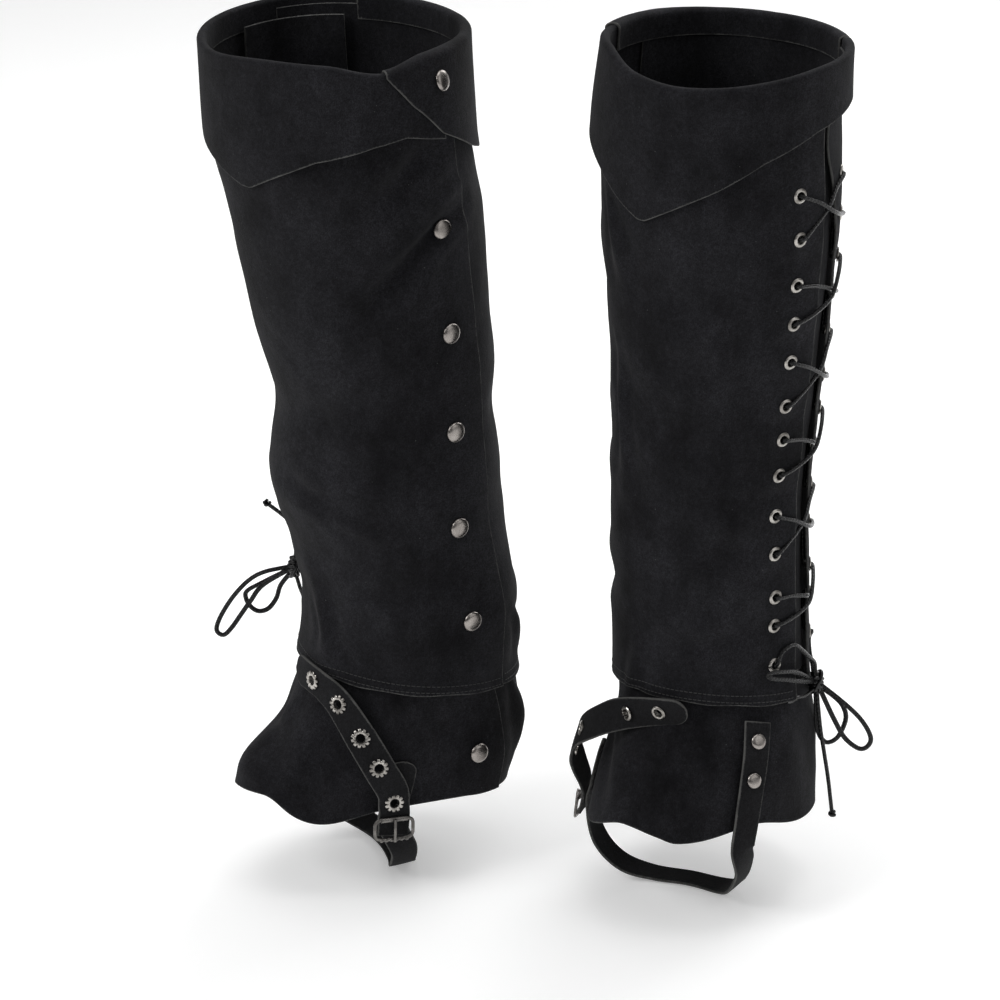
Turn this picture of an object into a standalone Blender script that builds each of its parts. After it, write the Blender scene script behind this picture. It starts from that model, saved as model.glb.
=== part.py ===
"""Pair of knee-high boot covers: lapped suede panels with a snap placket, side lacing and foot straps."""

import math

import bmesh
import bpy
from mathutils import Vector
from mathutils.bvhtree import BVHTree

MM = 0.001
VIEW_TURN = 45.0
TOE_OUT = 18.0
HOLD_HEIGHT = 150.0
RIM_HEIGHT = 521.0
WALL = 1.8
LAYER_STEP = 2.2
TOP_LAYER = 3
PANEL_TURN_STEP = 11.0
PLACKET_EDGE = -122.0
PLACKET_TUCK = -110.0
LACE_EDGE_FRONT = 79.0
LACE_EDGE_BACK = 104.0
EYELETS_FRONT = 62.0
EYELETS_BACK = 117.0
EYELET_HEIGHTS = (453, 427, 399, 375, 351, 323, 302, 279, 253, 229, 201, 182, 157)
SNAP_RADIUS = 6.3
SNAP_HEIGHT = 2.6
RIVET_RADIUS = 4.7
RIVET_HEIGHT = 2.2
LACE_WIDTH = 2.2
STRAP_WIDTH = 17.0
STRAP_WALL = 1.8
SEAT_GAP = 0.3
BUCKLE_PLACE = (-69.0, 47.0, 4.8)
BUCKLE_SIZE = (24, 13)
BUCKLE_WIRE = 2.4
PRONG_WIRE = 1.8
PRONG_LIFT = 2.4
SUEDE = (0.011, 0.011, 0.013, 1.0)
STRAP_BLACK = (0.008, 0.008, 0.009, 1.0)
NICKEL = (0.33, 0.31, 0.29, 1.0)
LACE_BLACK = (0.006, 0.006, 0.007, 1.0)

# Rings from the foot upwards: height, shift to the right of the view, then the reach from the middle
# to the front, the back, the outer side and the inner side.
SECTIONS = {
    "left": (
        (20, 0, 124, 62, 79, 59),
        (42, 0, 118, 62, 78, 58),
        (76, 1, 100, 63, 76, 55),
        (110, 4, 78, 62, 70, 52),
        (135, 6, 62, 59, 62, 56),
        (177, 7, 59, 58, 59, 59),
        (242, 5, 59, 59, 59, 59),
        (306, 7, 61, 61, 61, 61),
        (363, 8, 65, 65, 65, 65),
        (437, 8, 69, 68, 69, 69),
        (485, 7, 70, 68, 69, 69),
        (535, 9, 69, 67, 68, 68),
    ),
    "right": (
        (20, -2, 148, 50, 62, 57),
        (48, -3, 142, 53, 62, 56),
        (77, -5, 117, 66, 62, 57),
        (100, -9, 94, 69, 62, 58),
        (130, -14, 71, 67, 62, 61),
        (172, -13, 65, 66, 62, 63),
        (210, -19, 65, 65, 65, 65),
        (253, -27, 69, 69, 69, 69),
        (303, -27, 66, 66, 66, 66),
        (353, -34, 70, 70, 70, 70),
        (428, -43, 75, 73, 75, 73),
        (470, -50, 77, 73, 77, 75),
        (535, -53, 77, 73, 77, 75),
    ),
}
# Free edges as (turn from the toe in degrees, plus is the outer side; height).
HEM = {
    "left": ((-180, 47), (-110, 46), (-52, 50), (-5, 66), (20, 63), (55, 65), (90, 50), (180, 47)),
    "right": ((-180, 49), (-130, 51), (-85, 56), (-68, 56), (-50, 50), (-18, 64), (20, 59), (90, 50), (180, 49)),
}
# Broad folds: turn, height, end turn, end height, half width, depth. A trough is plus, a ridge is minus.
FOLDS = {
    "left": (
        (-50, 345, 10, 300, 13, 2.2), (-30, 215, 30, 250, 12, -1.6), (20, 420, 45, 330, 14, 1.6),
        (-150, 300, -190, 270, 14, 2.4), (-160, 190, -210, 205, 12, 1.8),
    ),
    "right": (
        (-99, 430, -62, 372, 12, 3.4), (-92, 472, -60, 405, 12, 2.2), (-30, 306, 20, 296, 13, 3.0),
        (-8, 200, -12, 148, 11, -2.6), (-145, 300, -190, 270, 14, 2.4), (-160, 190, -210, 205, 12, 1.8),
    ),
}
COLLAR_FRONT_EDGE = (
    (-114, 477), (-93, 482), (-78, 480), (-54, 470), (-32, 453), (-16, 440),
    (6, 453), (22, 462), (43, 476), (80, 490),
)
COLLAR_BACK_EDGE = ((-256, 482), (-200, 466), (-153, 458), (-135, 464))
# Caps from the collar tab down: turn, height, the piece that carries the cap.
SNAPS = (
    (-110, 507, "collar_back"), (-108, 421, "shaft_front"), (-104, 359, "shaft_front"),
    (-101, 297, "shaft_front"), (-100, 237, "shaft_front"), (-98, 175, "shaft_front"),
    (-99, 83, "foot_front"),
)
CAP_GAP = 0.35
CAP_START = 30.0
CAP_SIDES = 10
RIVET_HEIGHTS = (114, 93)
SEAM_MIDDLE = 127.0
SEAM_RISE = 11.0
TUCK = 8.0
FOOT_FRONT_START = -119.0
FOOT_FRONT_END = 128.0
FOOT_BACK_START = -242.0
FOOT_BACK_END = -106.0
TONGUE_REACH = 14.0
TONGUE_DROP = 6.0
COLLAR_FRONT_LAYER = 4.4
COLLAR_BACK_LAYER = 5.8
COLLAR_REAR_LAYER = 4.0
LAP_TURNS = (-150.0, -122.0)
TAB_RIM_TURN = -84.0
FOLD_ROUND = 0.4
TONGUE_LAYER = 0.5
# Stops of the instep strap: turn, height, out from the form.
INSTEP_ROUTE = {
    "left": (
        (11, 133, 5.0), (-2, 131, 4.8), (-14, 128, 5.0), (-27, 123, 8.0), (-38, 115, 13.0),
        (-50, 103, 16.0), (-59, 88, 14.5), (-65, 74, 9.5), (-68, 62, 3.6), (-69, 54, 1.9), (-69, 44, 1.9),
    ),
    "right": (
        (12, 136, 4.4), (0, 134, 4.4), (-10, 131, 5.0), (-20, 127, 5.5), (-31, 120, 6.5),
        (-48, 104, 7.5), (-60, 85, 7.5), (-66, 72, 5.5), (-68, 62, 2.6), (-69, 54, 1.3), (-69, 44, 1.3),
    ),
}
SOLE_OUTER_HEIGHTS = (124, 106, 88, 70, 54)
SOLE_WIDTH = 16.5
STRAP_SPACING = 9.0
SOLE_TURN = 52.0
SOLE_OUT = {"left": -0.9, "right": -1.9}
# Under the foot: place to the outer side, place towards the toe, height; then the facing.
SOLE_UNDER = (
    (58, 60, 38, 0.85, -0.5), (47, 45, 17, 0.75, -0.7), (31, 28, 3.6, 0.35, -0.94),
    (8, 26, 2.4, 0.0, -1.0), (-14, 30, 2.8, -0.1, -0.99), (-32, 38, 10, -0.6, -0.8),
    (-45, 43, 26, -0.85, -0.5),
)
SOLE_INNER = ((-69, 48, -1.4), (-69, 60, -1.4), (-69, 73, -1.4), (-69, 87, -1.4))
LACE_SPACING = 7.0
LACE_LOW = 5.2
LACE_HIGH = 8.2
LACE_BACK = {"left": 1.4, "right": 2.2}
# Middle of each knot: turn, height, out.
KNOTS = {"left": (101, 130, 7.0), "right": (66, 167, 24.0)}
# Lower ends of the two strands: (turn, height, out) on the way from the last eyelets to the knot.
LACE_TAILS = {
    "left": (((63, 158, 5.6), (72, 168, 7.5), (87, 162, 8.5)), ((113, 168, 4.0),)),
    "right": (((60, 176, 12.0),), ((103, 178, 7.0), (86, 184, 17.0))),
}
TAIL_ENDS = ((-2, 2, 9.6), (3, -2, 9.6))
KNOT_SIZE = (5.5, 5.5, 8.0)
KNOT_GAP = 0.75
# Stops from the knot: to the right of the view, nearer in the view, up.
BOWS = {
    "left": {
        "bow_loop_1": (
            (8, 3, -4), (16, 3, -12), (26, 3, -22), (32, 3, -31), (34, 3, -38), (31, 3, -43),
            (26, 3, -43), (18, 3, -36), (11, 3, -23), (6, 3, -11),
        ),
        "bow_loop_2": (
            (5, -3, -9), (12, -3, -12), (17, -3, -18), (19, -3, -26), (16, -3, -36),
            (12, -3, -41), (7, -3, -42), (3, -2, -36), (1, -1, -26), (0, 0, -11),
        ),
        "bow_loop_3": (
            (-8, 10, 7), (-14, 22, 9), (-23, 32, 10), (-29, 37, 9), (-31, 38, 5), (-28, 37, 1),
            (-21, 33, 0), (-12, 26, 0), (-5, 14, -3),
        ),
        "lace_end_1": ((1, 4, -11), (3, 4, -28), (6, 4, -46), (9, 3, -64), (12, 3, -87)),
    },
    "right": {
        "bow_loop_1": (
            (-8, 2, 1), (-19, 2, -3), (-29, 2, -9), (-38, 2, -19), (-45, 2, -30), (-49, 2, -39),
            (-49, 2, -44), (-45, 2, -46), (-40, 2, -41), (-34, 2, -32), (-28, 2, -23), (-20, 2, -12),
            (-8, 2, -4),
        ),
        "bow_loop_2": (
            (-4, -3, -9), (-9, -3, -14), (-12, -3, -23), (-17, -3, -30), (-23, -3, -32),
            (-28, -3, -29), (-31, -3, -23), (-30, -3, -18), (-20, -3, -12), (-9, -3, -6),
        ),
        "lace_end_1": ((-4, -2, 10), (-7, -2, 20), (-10, -2, 31), (-16, -2, 44)),
        "lace_end_2": ((2, 1, -11), (5, 5, -17), (8, 8, -25)),
    },
}


def clear_scene():
    """Start from an empty scene."""
    for old in list(bpy.data.objects):
        bpy.data.objects.remove(old)


def material(name, colour, roughness, metallic):
    """One plain Principled material."""
    made = bpy.data.materials.new(name)
    made.use_nodes = True
    shader = made.node_tree.nodes["Principled BSDF"]
    shader.inputs["Base Color"].default_value = colour
    shader.inputs["Roughness"].default_value = roughness
    shader.inputs["Metallic"].default_value = metallic
    return made


def blend_table(table, at):
    """Smoothly read the columns of a table at one place."""
    if at <= table[0][0]:
        return table[0][1:]
    for low, high in zip(table, table[1:]):
        if at <= high[0]:
            share = (at - low[0]) / (high[0] - low[0])
            share = share * share * (3 - 2 * share)
            return tuple(a + (b - a) * share for a, b in zip(low[1:], high[1:]))
    return table[-1][1:]


class Cover:
    """One cover: its place on the floor, its hand and the form that its panels follow."""

    def __init__(self, name, hand, place):
        self.name = name
        self.hand = hand
        self.place = place
        turn = math.radians(hand * TOE_OUT)
        self.toe = Vector((math.sin(turn), -math.cos(turn), 0))
        self.outer = Vector((hand * math.cos(turn), hand * math.sin(turn), 0))
        view = math.radians(VIEW_TURN)
        self.lean = Vector((math.cos(view), math.sin(view), 0))

    def point(self, turn, height, out=0.0):
        """A point of the form at a turn from the toe, a height above the floor, and moved out."""
        shift, front, back, outer, inner = blend_table(SECTIONS[self.name], height)
        out -= self.fold_depth(turn, height, (outer + inner) / 2)
        angle = math.radians(turn)
        across, along = math.sin(angle), math.cos(angle)
        width = outer if across > 0 else inner
        length = front if along > 0 else back
        slope = Vector((across / width, along / length)).normalized()
        flat = self.outer * (width * across + out * slope.x)
        flat += self.toe * (length * along + out * slope.y)
        flat += self.place + self.lean * shift
        return Vector((flat.x, flat.y, height))

    def fold_depth(self, turn, height, radius):
        """How deep the folds press the form in at one place."""
        depth = 0.0
        arc = math.radians(radius)
        if turn > LACE_EDGE_BACK:
            turn -= 360
        for t0, z0, t1, z1, half_width, deep in FOLDS[self.name]:
            run, rise = (t1 - t0) * arc, z1 - z0
            x, y = (turn - t0) * arc, height - z0
            share = min(1.0, max(0.0, (x * run + y * rise) / (run * run + rise * rise)))
            away = math.hypot(x - share * run, y - share * rise) / half_width
            depth += deep * math.exp(-away * away)
        return depth

    def out_direction(self, turn, height):
        """The form's outward direction, from two nearby tangents."""
        step = 1.0
        around = self.point(turn + step, height) - self.point(turn - step, height)
        upward = self.point(turn, height + step) - self.point(turn, height - step)
        normal = around.cross(upward).normalized()
        if normal.dot(self.point(turn, height, step) - self.point(turn, height)) < 0:
            normal = -normal
        return normal

    def hem(self, turn):
        """Height of the foot piece's free edge."""
        wrapped = (turn + 180) % 360 - 180
        return blend_table(HEM[self.name], wrapped)[0]


VIEW_RIGHT = Vector((math.cos(math.radians(VIEW_TURN)), math.sin(math.radians(VIEW_TURN)), 0))
VIEW_NEAR = Vector((math.sin(math.radians(VIEW_TURN)), -math.cos(math.radians(VIEW_TURN)), 0))
HALF_STEP = VIEW_RIGHT * 81.0 + VIEW_NEAR * 13.0
COVERS = (Cover("left", 1, HALF_STEP), Cover("right", -1, -HALF_STEP))
ORIGIN = COVERS[0].point(0, HOLD_HEIGHT) * 0.5 + COVERS[0].point(180, HOLD_HEIGHT) * 0.5


def seam_height(turn):
    """Height of the ankle seam, higher over the instep than at the heel."""
    return SEAM_MIDDLE + SEAM_RISE * math.cos(math.radians(turn))


def layer(number):
    """How far the inner face of a layer of cloth lies from the form."""
    return (number - TOP_LAYER) * LAYER_STEP


def add_object(name, mesh, look, smooth=True):
    """Place a finished mesh in the scene as one named piece."""
    mesh.materials.append(look)
    if smooth:
        mesh.shade_smooth()
        mesh.set_sharp_from_angle(angle=math.radians(50))
    made = bpy.data.objects.new(name, mesh)
    bpy.context.scene.collection.objects.link(made)
    return made


def sheet_solid(name, outer, inner, look):
    """A closed wall between an outer and an inner grid of points, in rows of equal length."""
    shape = bmesh.new()
    rows, columns = len(outer), len(outer[0])
    skins = []
    for grid in (outer, inner):
        skins.append([[shape.verts.new((p - ORIGIN) * MM) for p in row] for row in grid])
    front, rear = skins
    for j in range(rows - 1):
        for i in range(columns - 1):
            shape.faces.new((front[j][i], front[j][i + 1], front[j + 1][i + 1], front[j + 1][i]))
            shape.faces.new((rear[j][i], rear[j + 1][i], rear[j + 1][i + 1], rear[j][i + 1]))
    rim = [(0, i) for i in range(columns - 1)]
    rim += [(j, columns - 1) for j in range(rows - 1)]
    rim += [(rows - 1, i) for i in range(columns - 1, 0, -1)]
    rim += [(j, 0) for j in range(rows - 1, 0, -1)]
    for here, after in zip(rim, rim[1:] + rim[:1]):
        a, b = front[here[0]][here[1]], front[after[0]][after[1]]
        c, d = rear[after[0]][after[1]], rear[here[0]][here[1]]
        shape.faces.new((a, d, c, b))
    bmesh.ops.recalc_face_normals(shape, faces=shape.faces)
    mesh = bpy.data.meshes.new(name)
    shape.to_mesh(mesh)
    shape.free()
    return add_object(name, mesh, look)


def turns(start, end, step=PANEL_TURN_STEP):
    """Even turns from start to end, both included."""
    count = max(1, round(abs(end - start) / step))
    return [start + (end - start) * i / count for i in range(count + 1)]


def panel(cover, name, start, end, low, high, rows, number, look):
    """A panel of one layer between two edges that change with the turn."""
    outer, inner = [], []
    base = layer(number)
    for j in range(rows + 1):
        share = j / rows
        heights = [(t, low(t) + (high(t) - low(t)) * share) for t in turns(start, end)]
        outer.append([cover.point(t, z, base + WALL) for t, z in heights])
        inner.append([cover.point(t, z, base) for t, z in heights])
    return sheet_solid(f"{name}_{cover.name}", outer, inner, look)


def shaft_panels(cover, look):
    """Front and back of the shaft, and the tongue behind the lacing."""
    def rim(turn):
        return RIM_HEIGHT

    def tongue_low(turn):
        return seam_height(turn) + TONGUE_REACH

    def tongue_high(turn):
        return RIM_HEIGHT - TONGUE_DROP

    tongue = (LACE_EDGE_FRONT - TONGUE_REACH, LACE_EDGE_BACK + TONGUE_REACH)
    panel(cover, "shaft_front", PLACKET_EDGE, LACE_EDGE_FRONT, seam_height, rim, 10, 3, look)
    panel(cover, "shaft_back", LACE_EDGE_BACK - 360, PLACKET_TUCK, seam_height, rim, 10, 2, look)
    panel(cover, "lace_tongue", *tongue, tongue_low, tongue_high, 10, TONGUE_LAYER, look)


def foot_panels(cover, look):
    """Front and heel of the foot piece, tucked up under the shaft."""
    def tuck(turn):
        return seam_height(turn) + TUCK

    panel(cover, "foot_front", FOOT_FRONT_START, FOOT_FRONT_END, cover.hem, tuck, 5, 1, look)
    panel(cover, "foot_back", FOOT_BACK_START, FOOT_BACK_END, cover.hem, tuck, 5, 0, look)


def collar_rows(cover, edge, start, end, number, look, name):
    """A turned-down collar piece whose top folds in over the rim."""
    low_start, high_start = start
    fold = RIM_HEIGHT + SEAT_GAP
    inner_fold = layer(2)
    outer, inner = [], []
    shares = (0, 0.3, 0.6, 0.85, 1.0)
    for share in shares:
        first = low_start + (high_start - low_start) * share
        row = []
        for t in turns_between(first, end, low_start):
            low = blend_table(edge, max(edge[0][0], min(edge[-1][0], t)))[0]
            row.append((t, low + (RIM_HEIGHT - 0.5 - low) * share))
        outer.append([cover.point(t, z, layer(number(t)) + WALL) for t, z in row])
        inner.append([cover.point(t, z, layer(number(t))) for t, z in row])
    top = turns_between(high_start, end, low_start)
    lifts = [fold + (number(t) - TOP_LAYER - 1) * LAYER_STEP for t in top]
    bases = [layer(number(t)) for t in top]
    rim = list(zip(top, lifts, bases))
    outer.append([cover.point(t, z + WALL, base + WALL * FOLD_ROUND) for t, z, base in rim])
    inner.append([cover.point(t, z, base - 0.1) for t, z, base in rim])
    outer.append([cover.point(t, z + WALL, inner_fold) for t, z, base in rim])
    inner.append([cover.point(t, z, inner_fold) for t, z, base in rim])
    return sheet_solid(f"{name}_{cover.name}", outer, inner, look)


def turns_between(first, end, low_start):
    """As many columns for every row, wherever the slanted end starts."""
    count = len(turns(low_start, end))
    return [first + (end - first) * i / (count - 1) for i in range(count)]


def front_flap_layer(turn):
    """The front flap lies evenly on the front panel."""
    return COLLAR_FRONT_LAYER


def back_flap_layer(turn):
    """The back flap rises from the back panel onto the front flap where its tab laps over it."""
    low, high = LAP_TURNS
    return blend_table(((low, COLLAR_REAR_LAYER), (high, COLLAR_BACK_LAYER)), turn)[0]


def collar(cover, look):
    """Front flap with its point, and the back flap whose closing tab laps over it."""
    front, back = COLLAR_FRONT_EDGE, COLLAR_BACK_EDGE
    front_start = (front[0][0], front[0][0])
    back_start = (back[-1][0], TAB_RIM_TURN)
    rear_end = LACE_EDGE_BACK - 360
    collar_rows(cover, front, front_start, LACE_EDGE_FRONT, front_flap_layer, look, "collar_front")
    collar_rows(cover, back, back_start, rear_end, back_flap_layer, look, "collar_back")


def cap_ring(normal, radius):
    """Offsets round a cap's rim."""
    side = normal.cross(Vector((0, 0, 1))).normalized()
    other = normal.cross(side)
    angles = [2 * math.pi * i / CAP_SIDES for i in range(CAP_SIDES)]
    return [(side * math.cos(a) + other * math.sin(a)) * radius for a in angles]


def dome(name, seat, normal, radius, height, look):
    """A round cap with a domed top, flat on its seat."""
    profile = ((0.0, 1.0), (0.45, 1.0), (0.8, 0.85), (1.0, 0.4))
    shape = bmesh.new()
    rings = []
    for up, wide in profile:
        middle = seat + normal * height * up - ORIGIN
        rings.append([shape.verts.new((middle + r) * MM) for r in cap_ring(normal, radius * wide)])
    for low, high in zip(rings, rings[1:]):
        for i in range(CAP_SIDES):
            after = (i + 1) % CAP_SIDES
            shape.faces.new((low[i], low[after], high[after], high[i]))
    shape.faces.new(rings[0][::-1])
    shape.faces.new(rings[-1])
    bmesh.ops.recalc_face_normals(shape, faces=shape.faces)
    mesh = bpy.data.meshes.new(name)
    shape.to_mesh(mesh)
    shape.free()
    return add_object(name, mesh, look)


def snaps(cover, look):
    """Snap caps down the placket, with one on the collar tab and one on the foot piece."""
    for index, (turn, height, carrier) in enumerate(SNAPS):
        name = f"snap_{index + 1}_{cover.name}"
        seat_on(cover, name, turn, height, carrier, SNAP_RADIUS, SNAP_HEIGHT, look)


def seat_on(cover, name, turn, height, carrier, radius, tall, look):
    """Seat a cap on the highest place of its carrier's face that lies under the cap."""
    mesh = bpy.data.objects[f"{carrier}_{cover.name}"].data
    corners = [vert.co for vert in mesh.vertices]
    tree = BVHTree.FromPolygons(corners, [tuple(face.vertices) for face in mesh.polygons])
    normal = cover.out_direction(turn, height)
    start = cover.point(turn, height) + normal * CAP_START
    reach = 2 * CAP_START
    for offset in cap_ring(normal, radius) + [Vector((0, 0, 0))]:
        hit = tree.ray_cast((start + offset - ORIGIN) * MM, -normal)
        if hit[3] is not None:
            reach = min(reach, hit[3] / MM)
    return dome(name, start - normal * (reach - CAP_GAP), normal, radius, tall, look)


def ribbon(name, middles, widths, normals, wall, look, width=STRAP_WIDTH):
    """A flat strap along a route: each stop has a point, a direction across and a normal."""
    outer, inner = [], []
    for middle, across, normal in zip(middles, widths, normals):
        a = middle - across * width / 2
        b = middle + across * width / 2
        outer.append([a + normal * wall, middle + normal * wall, b + normal * wall])
        inner.append([a, middle, b])
    return sheet_solid(name, outer, inner, look)


def smooth_route(stops, spacing):
    """Points at an even spacing on a smooth curve through the stops."""
    dense = []
    ends = [stops[0] * 2 - stops[1]] + list(stops) + [stops[-1] * 2 - stops[-2]]
    for a, b, c, d in zip(ends, ends[1:], ends[2:], ends[3:]):
        for step in range(12):
            s = step / 12
            dense.append(
                0.5 * (2 * b + (c - a) * s + (2 * a - 5 * b + 4 * c - d) * s ** 2
                       + (3 * b - a - 3 * c + d) * s ** 3)
            )
    dense.append(stops[-1])
    lengths = [0.0]
    for a, b in zip(dense, dense[1:]):
        lengths.append(lengths[-1] + (b - a).length)
    count = max(3, round(lengths[-1] / spacing))
    points, k = [], 0
    for i in range(count + 1):
        want = lengths[-1] * i / count
        while k < len(dense) - 2 and lengths[k + 1] < want:
            k += 1
        share = (want - lengths[k]) / max(1e-9, lengths[k + 1] - lengths[k])
        points.append(dense[k].lerp(dense[k + 1], min(1.0, share)))
    return points


def across_route(middles, normals):
    """Directions across a strap that runs through these points."""
    result = []
    last = len(middles) - 1
    for i, normal in enumerate(normals):
        along = middles[min(last, i + 1)] - middles[max(0, i - 1)]
        result.append(normal.cross(along).normalized())
    return result


def instep_strap(cover, look):
    """Strap from its free tip at the outer side over the instep, bowed off the cover, to the buckle."""
    stops = [cover.point(t, z, out) for t, z, out in INSTEP_ROUTE[cover.name]]
    facing = [cover.out_direction(t, z) for t, z, out in INSTEP_ROUTE[cover.name]]
    middles = smooth_route(stops, STRAP_SPACING)
    normals = spread(facing, len(middles))
    ribbon(f"instep_strap_{cover.name}", middles, across_route(middles, normals), normals, STRAP_WALL, look)


def spread(directions, count):
    """As many directions as points, turned evenly between the given ones."""
    result = []
    for i in range(count):
        place = i * (len(directions) - 1) / (count - 1)
        low = min(int(place), len(directions) - 2)
        result.append(directions[low].lerp(directions[low + 1], place - low).normalized())
    return result


def sole_strap(cover, look):
    """Strap from its outer rivets down, under the foot, and up to a tip behind the instep strap."""
    stops, facing = [], []
    for z in SOLE_OUTER_HEIGHTS:
        stops.append(cover.point(SOLE_TURN, z, SOLE_OUT[cover.name]))
        facing.append(cover.out_direction(SOLE_TURN, z))
    for outer, front, z, side, down in SOLE_UNDER:
        stops.append(cover.place + cover.outer * outer + cover.toe * front + Vector((0, 0, z)))
        facing.append((cover.outer * side + Vector((0, 0, down))).normalized())
    for t, z, out in SOLE_INNER:
        stops.append(cover.point(t, z, out))
        facing.append(cover.out_direction(t, z))
    across = across_route(stops, facing)
    middles = smooth_route(stops, STRAP_SPACING)
    count = len(middles)
    lengths = route_shares(stops)
    normals, widths = [], []
    for i in range(count):
        share = i / (count - 1)
        k = max(n for n in range(len(lengths) - 1) if lengths[n] <= share + 1e-9)
        s = (share - lengths[k]) / (lengths[k + 1] - lengths[k])
        normals.append(facing[k].lerp(facing[k + 1], s).normalized())
        widths.append(across[k].lerp(across[k + 1], s).normalized())
    ribbon(f"sole_strap_{cover.name}", middles, widths, normals, STRAP_WALL, look, SOLE_WIDTH)


def route_shares(stops):
    """How far along the route each stop lies, from 0 to 1."""
    lengths = [0.0]
    for a, b in zip(stops, stops[1:]):
        lengths.append(lengths[-1] + (b - a).length)
    return [value / lengths[-1] for value in lengths]


def loop_tube(name, centre, across, along, size, wire, look):
    """A rounded rectangular ring of round wire."""
    normal = across.cross(along).normalized()
    corners, sides = 20, 6
    shape = bmesh.new()
    rings = []
    for i in range(corners):
        angle = 2 * math.pi * i / corners
        c, s = math.cos(angle), math.sin(angle)
        flat_x = math.copysign(abs(c) ** 0.5, c) * size[0] / 2
        flat_y = math.copysign(abs(s) ** 0.5, s) * size[1] / 2
        middle = centre + across * flat_x + along * flat_y
        away = (across * c * size[1] + along * s * size[0]).normalized()
        ring = []
        for k in range(sides):
            turn = 2 * math.pi * k / sides
            offset = away * math.cos(turn) + normal * math.sin(turn)
            ring.append(shape.verts.new((middle + offset * wire / 2 - ORIGIN) * MM))
        rings.append(ring)
    for i in range(corners):
        here, after = rings[i], rings[(i + 1) % corners]
        for k in range(sides):
            shape.faces.new((here[k], after[k], after[(k + 1) % sides], here[(k + 1) % sides]))
    bmesh.ops.recalc_face_normals(shape, faces=shape.faces)
    mesh = bpy.data.meshes.new(name)
    shape.to_mesh(mesh)
    shape.free()
    return add_object(name, mesh, look)


def buckle(cover, look):
    """Wire frame below the instep strap's end, with its prong laid up the strap."""
    turn, height, out = BUCKLE_PLACE
    normal = cover.out_direction(turn, height)
    down = (Vector((0, 0, -1)) - cover.outer * -0.25).normalized()
    down = (down - normal * down.dot(normal)).normalized()
    across = normal.cross(down).normalized()
    centre = cover.point(turn, height, out)
    loop_tube(f"buckle_frame_{cover.name}", centre, across, down, BUCKLE_SIZE, BUCKLE_WIRE, look)
    start = centre + normal * PRONG_LIFT + down * 7.5
    stop = centre + normal * PRONG_LIFT - down * 6.0
    tube(f"buckle_prong_{cover.name}", [start, (start + stop) / 2, stop], PRONG_WIRE, look)


def tube(name, points, width, look):
    """A round cord or wire through its points, as one closed solid."""
    curve = bpy.data.curves.new(name, "CURVE")
    curve.dimensions = "3D"
    curve.bevel_depth = width / 2 * MM
    curve.bevel_resolution = 2
    curve.use_fill_caps = True
    spline = curve.splines.new("POLY")
    spline.points.add(len(points) - 1)
    for target, point in zip(spline.points, points):
        target.co = (*((point - ORIGIN) * MM), 1.0)
    curve.materials.append(look)
    made = bpy.data.objects.new(name, curve)
    bpy.context.scene.collection.objects.link(made)
    return made


def view_point(start, offset):
    """A point that lies off another along the view's right, towards the view, and up."""
    right, near, up = offset
    return start + VIEW_RIGHT * right + VIEW_NEAR * near + Vector((0, 0, up))


def knot_seat(knot, offset):
    """Where a cord's end meets the knot, in the direction of an offset."""
    away = (view_point(knot, offset) - knot).normalized()
    reach = 1 / math.sqrt(sum((away[i] / KNOT_SIZE[i]) ** 2 for i in range(3)))
    return knot + away * (reach + KNOT_GAP)


def crossed_lace(cover, first_front):
    """Stops of one strand that crosses the gap at every pair of eyelets."""
    stops = []
    on_front = first_front
    for row in range(0, 12, 2):
        start, finish = row, row + 1
        ends = []
        for step, eyelet in enumerate((start, finish)):
            front_side = on_front if step == 0 else not on_front
            turn = EYELETS_FRONT if front_side else EYELETS_BACK
            out = LACE_LOW if front_side else LACE_BACK[cover.name]
            ends.append((turn, EYELET_HEIGHTS[eyelet], out))
        (t0, z0, o0), (t1, z1, o1) = ends
        lift = LACE_HIGH if first_front else LACE_LOW
        middle_turn = (t0 + t1) / 2
        middle_height = (z0 + z1) / 2
        stops.append(cover.point(t0, z0, o0))
        stops.append(cover.point(t0 * 0.72 + t1 * 0.28, z0 * 0.76 + z1 * 0.24, (o0 + lift) / 2 + 1.0))
        stops.append(cover.point(middle_turn, middle_height, lift))
        stops.append(cover.point(t0 * 0.28 + t1 * 0.72, z0 * 0.24 + z1 * 0.76, (o1 + lift) / 2 + 1.0))
        stops.append(cover.point(t1, z1, o1))
        on_front = not on_front
    return stops


def laces(cover, look):
    """Two crossed strands, the knot below them, and the bow's loops and free ends."""
    turn, height, out = KNOTS[cover.name]
    knot = cover.point(turn, height, out)
    for strand, name in enumerate(("lace_a", "lace_b")):
        stops = crossed_lace(cover, strand == 0)
        stops += [cover.point(*stop) for stop in LACE_TAILS[cover.name][strand]]
        stops.append(knot_seat(knot, TAIL_ENDS[strand]))
        tube(f"{name}_{cover.name}", smooth_route(stops, LACE_SPACING), LACE_WIDTH, look)
    shape = bmesh.new()
    bmesh.ops.create_icosphere(shape, subdivisions=2, radius=1.0)
    for vert in shape.verts:
        size = Vector(vert.co[i] * KNOT_SIZE[i] for i in range(3))
        vert.co = (knot + size - ORIGIN) * MM
    mesh = bpy.data.meshes.new(f"bow_knot_{cover.name}")
    shape.to_mesh(mesh)
    shape.free()
    add_object(mesh.name, mesh, look)
    for name, offsets in BOWS[cover.name].items():
        stops = [view_point(knot, offset) for offset in offsets]
        stops[0] = knot_seat(knot, offsets[0])
        if name.startswith("bow_loop"):
            stops[-1] = knot_seat(knot, offsets[-1])
        tube(f"{name}_{cover.name}", smooth_route(stops, LACE_SPACING), LACE_WIDTH, look)


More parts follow.
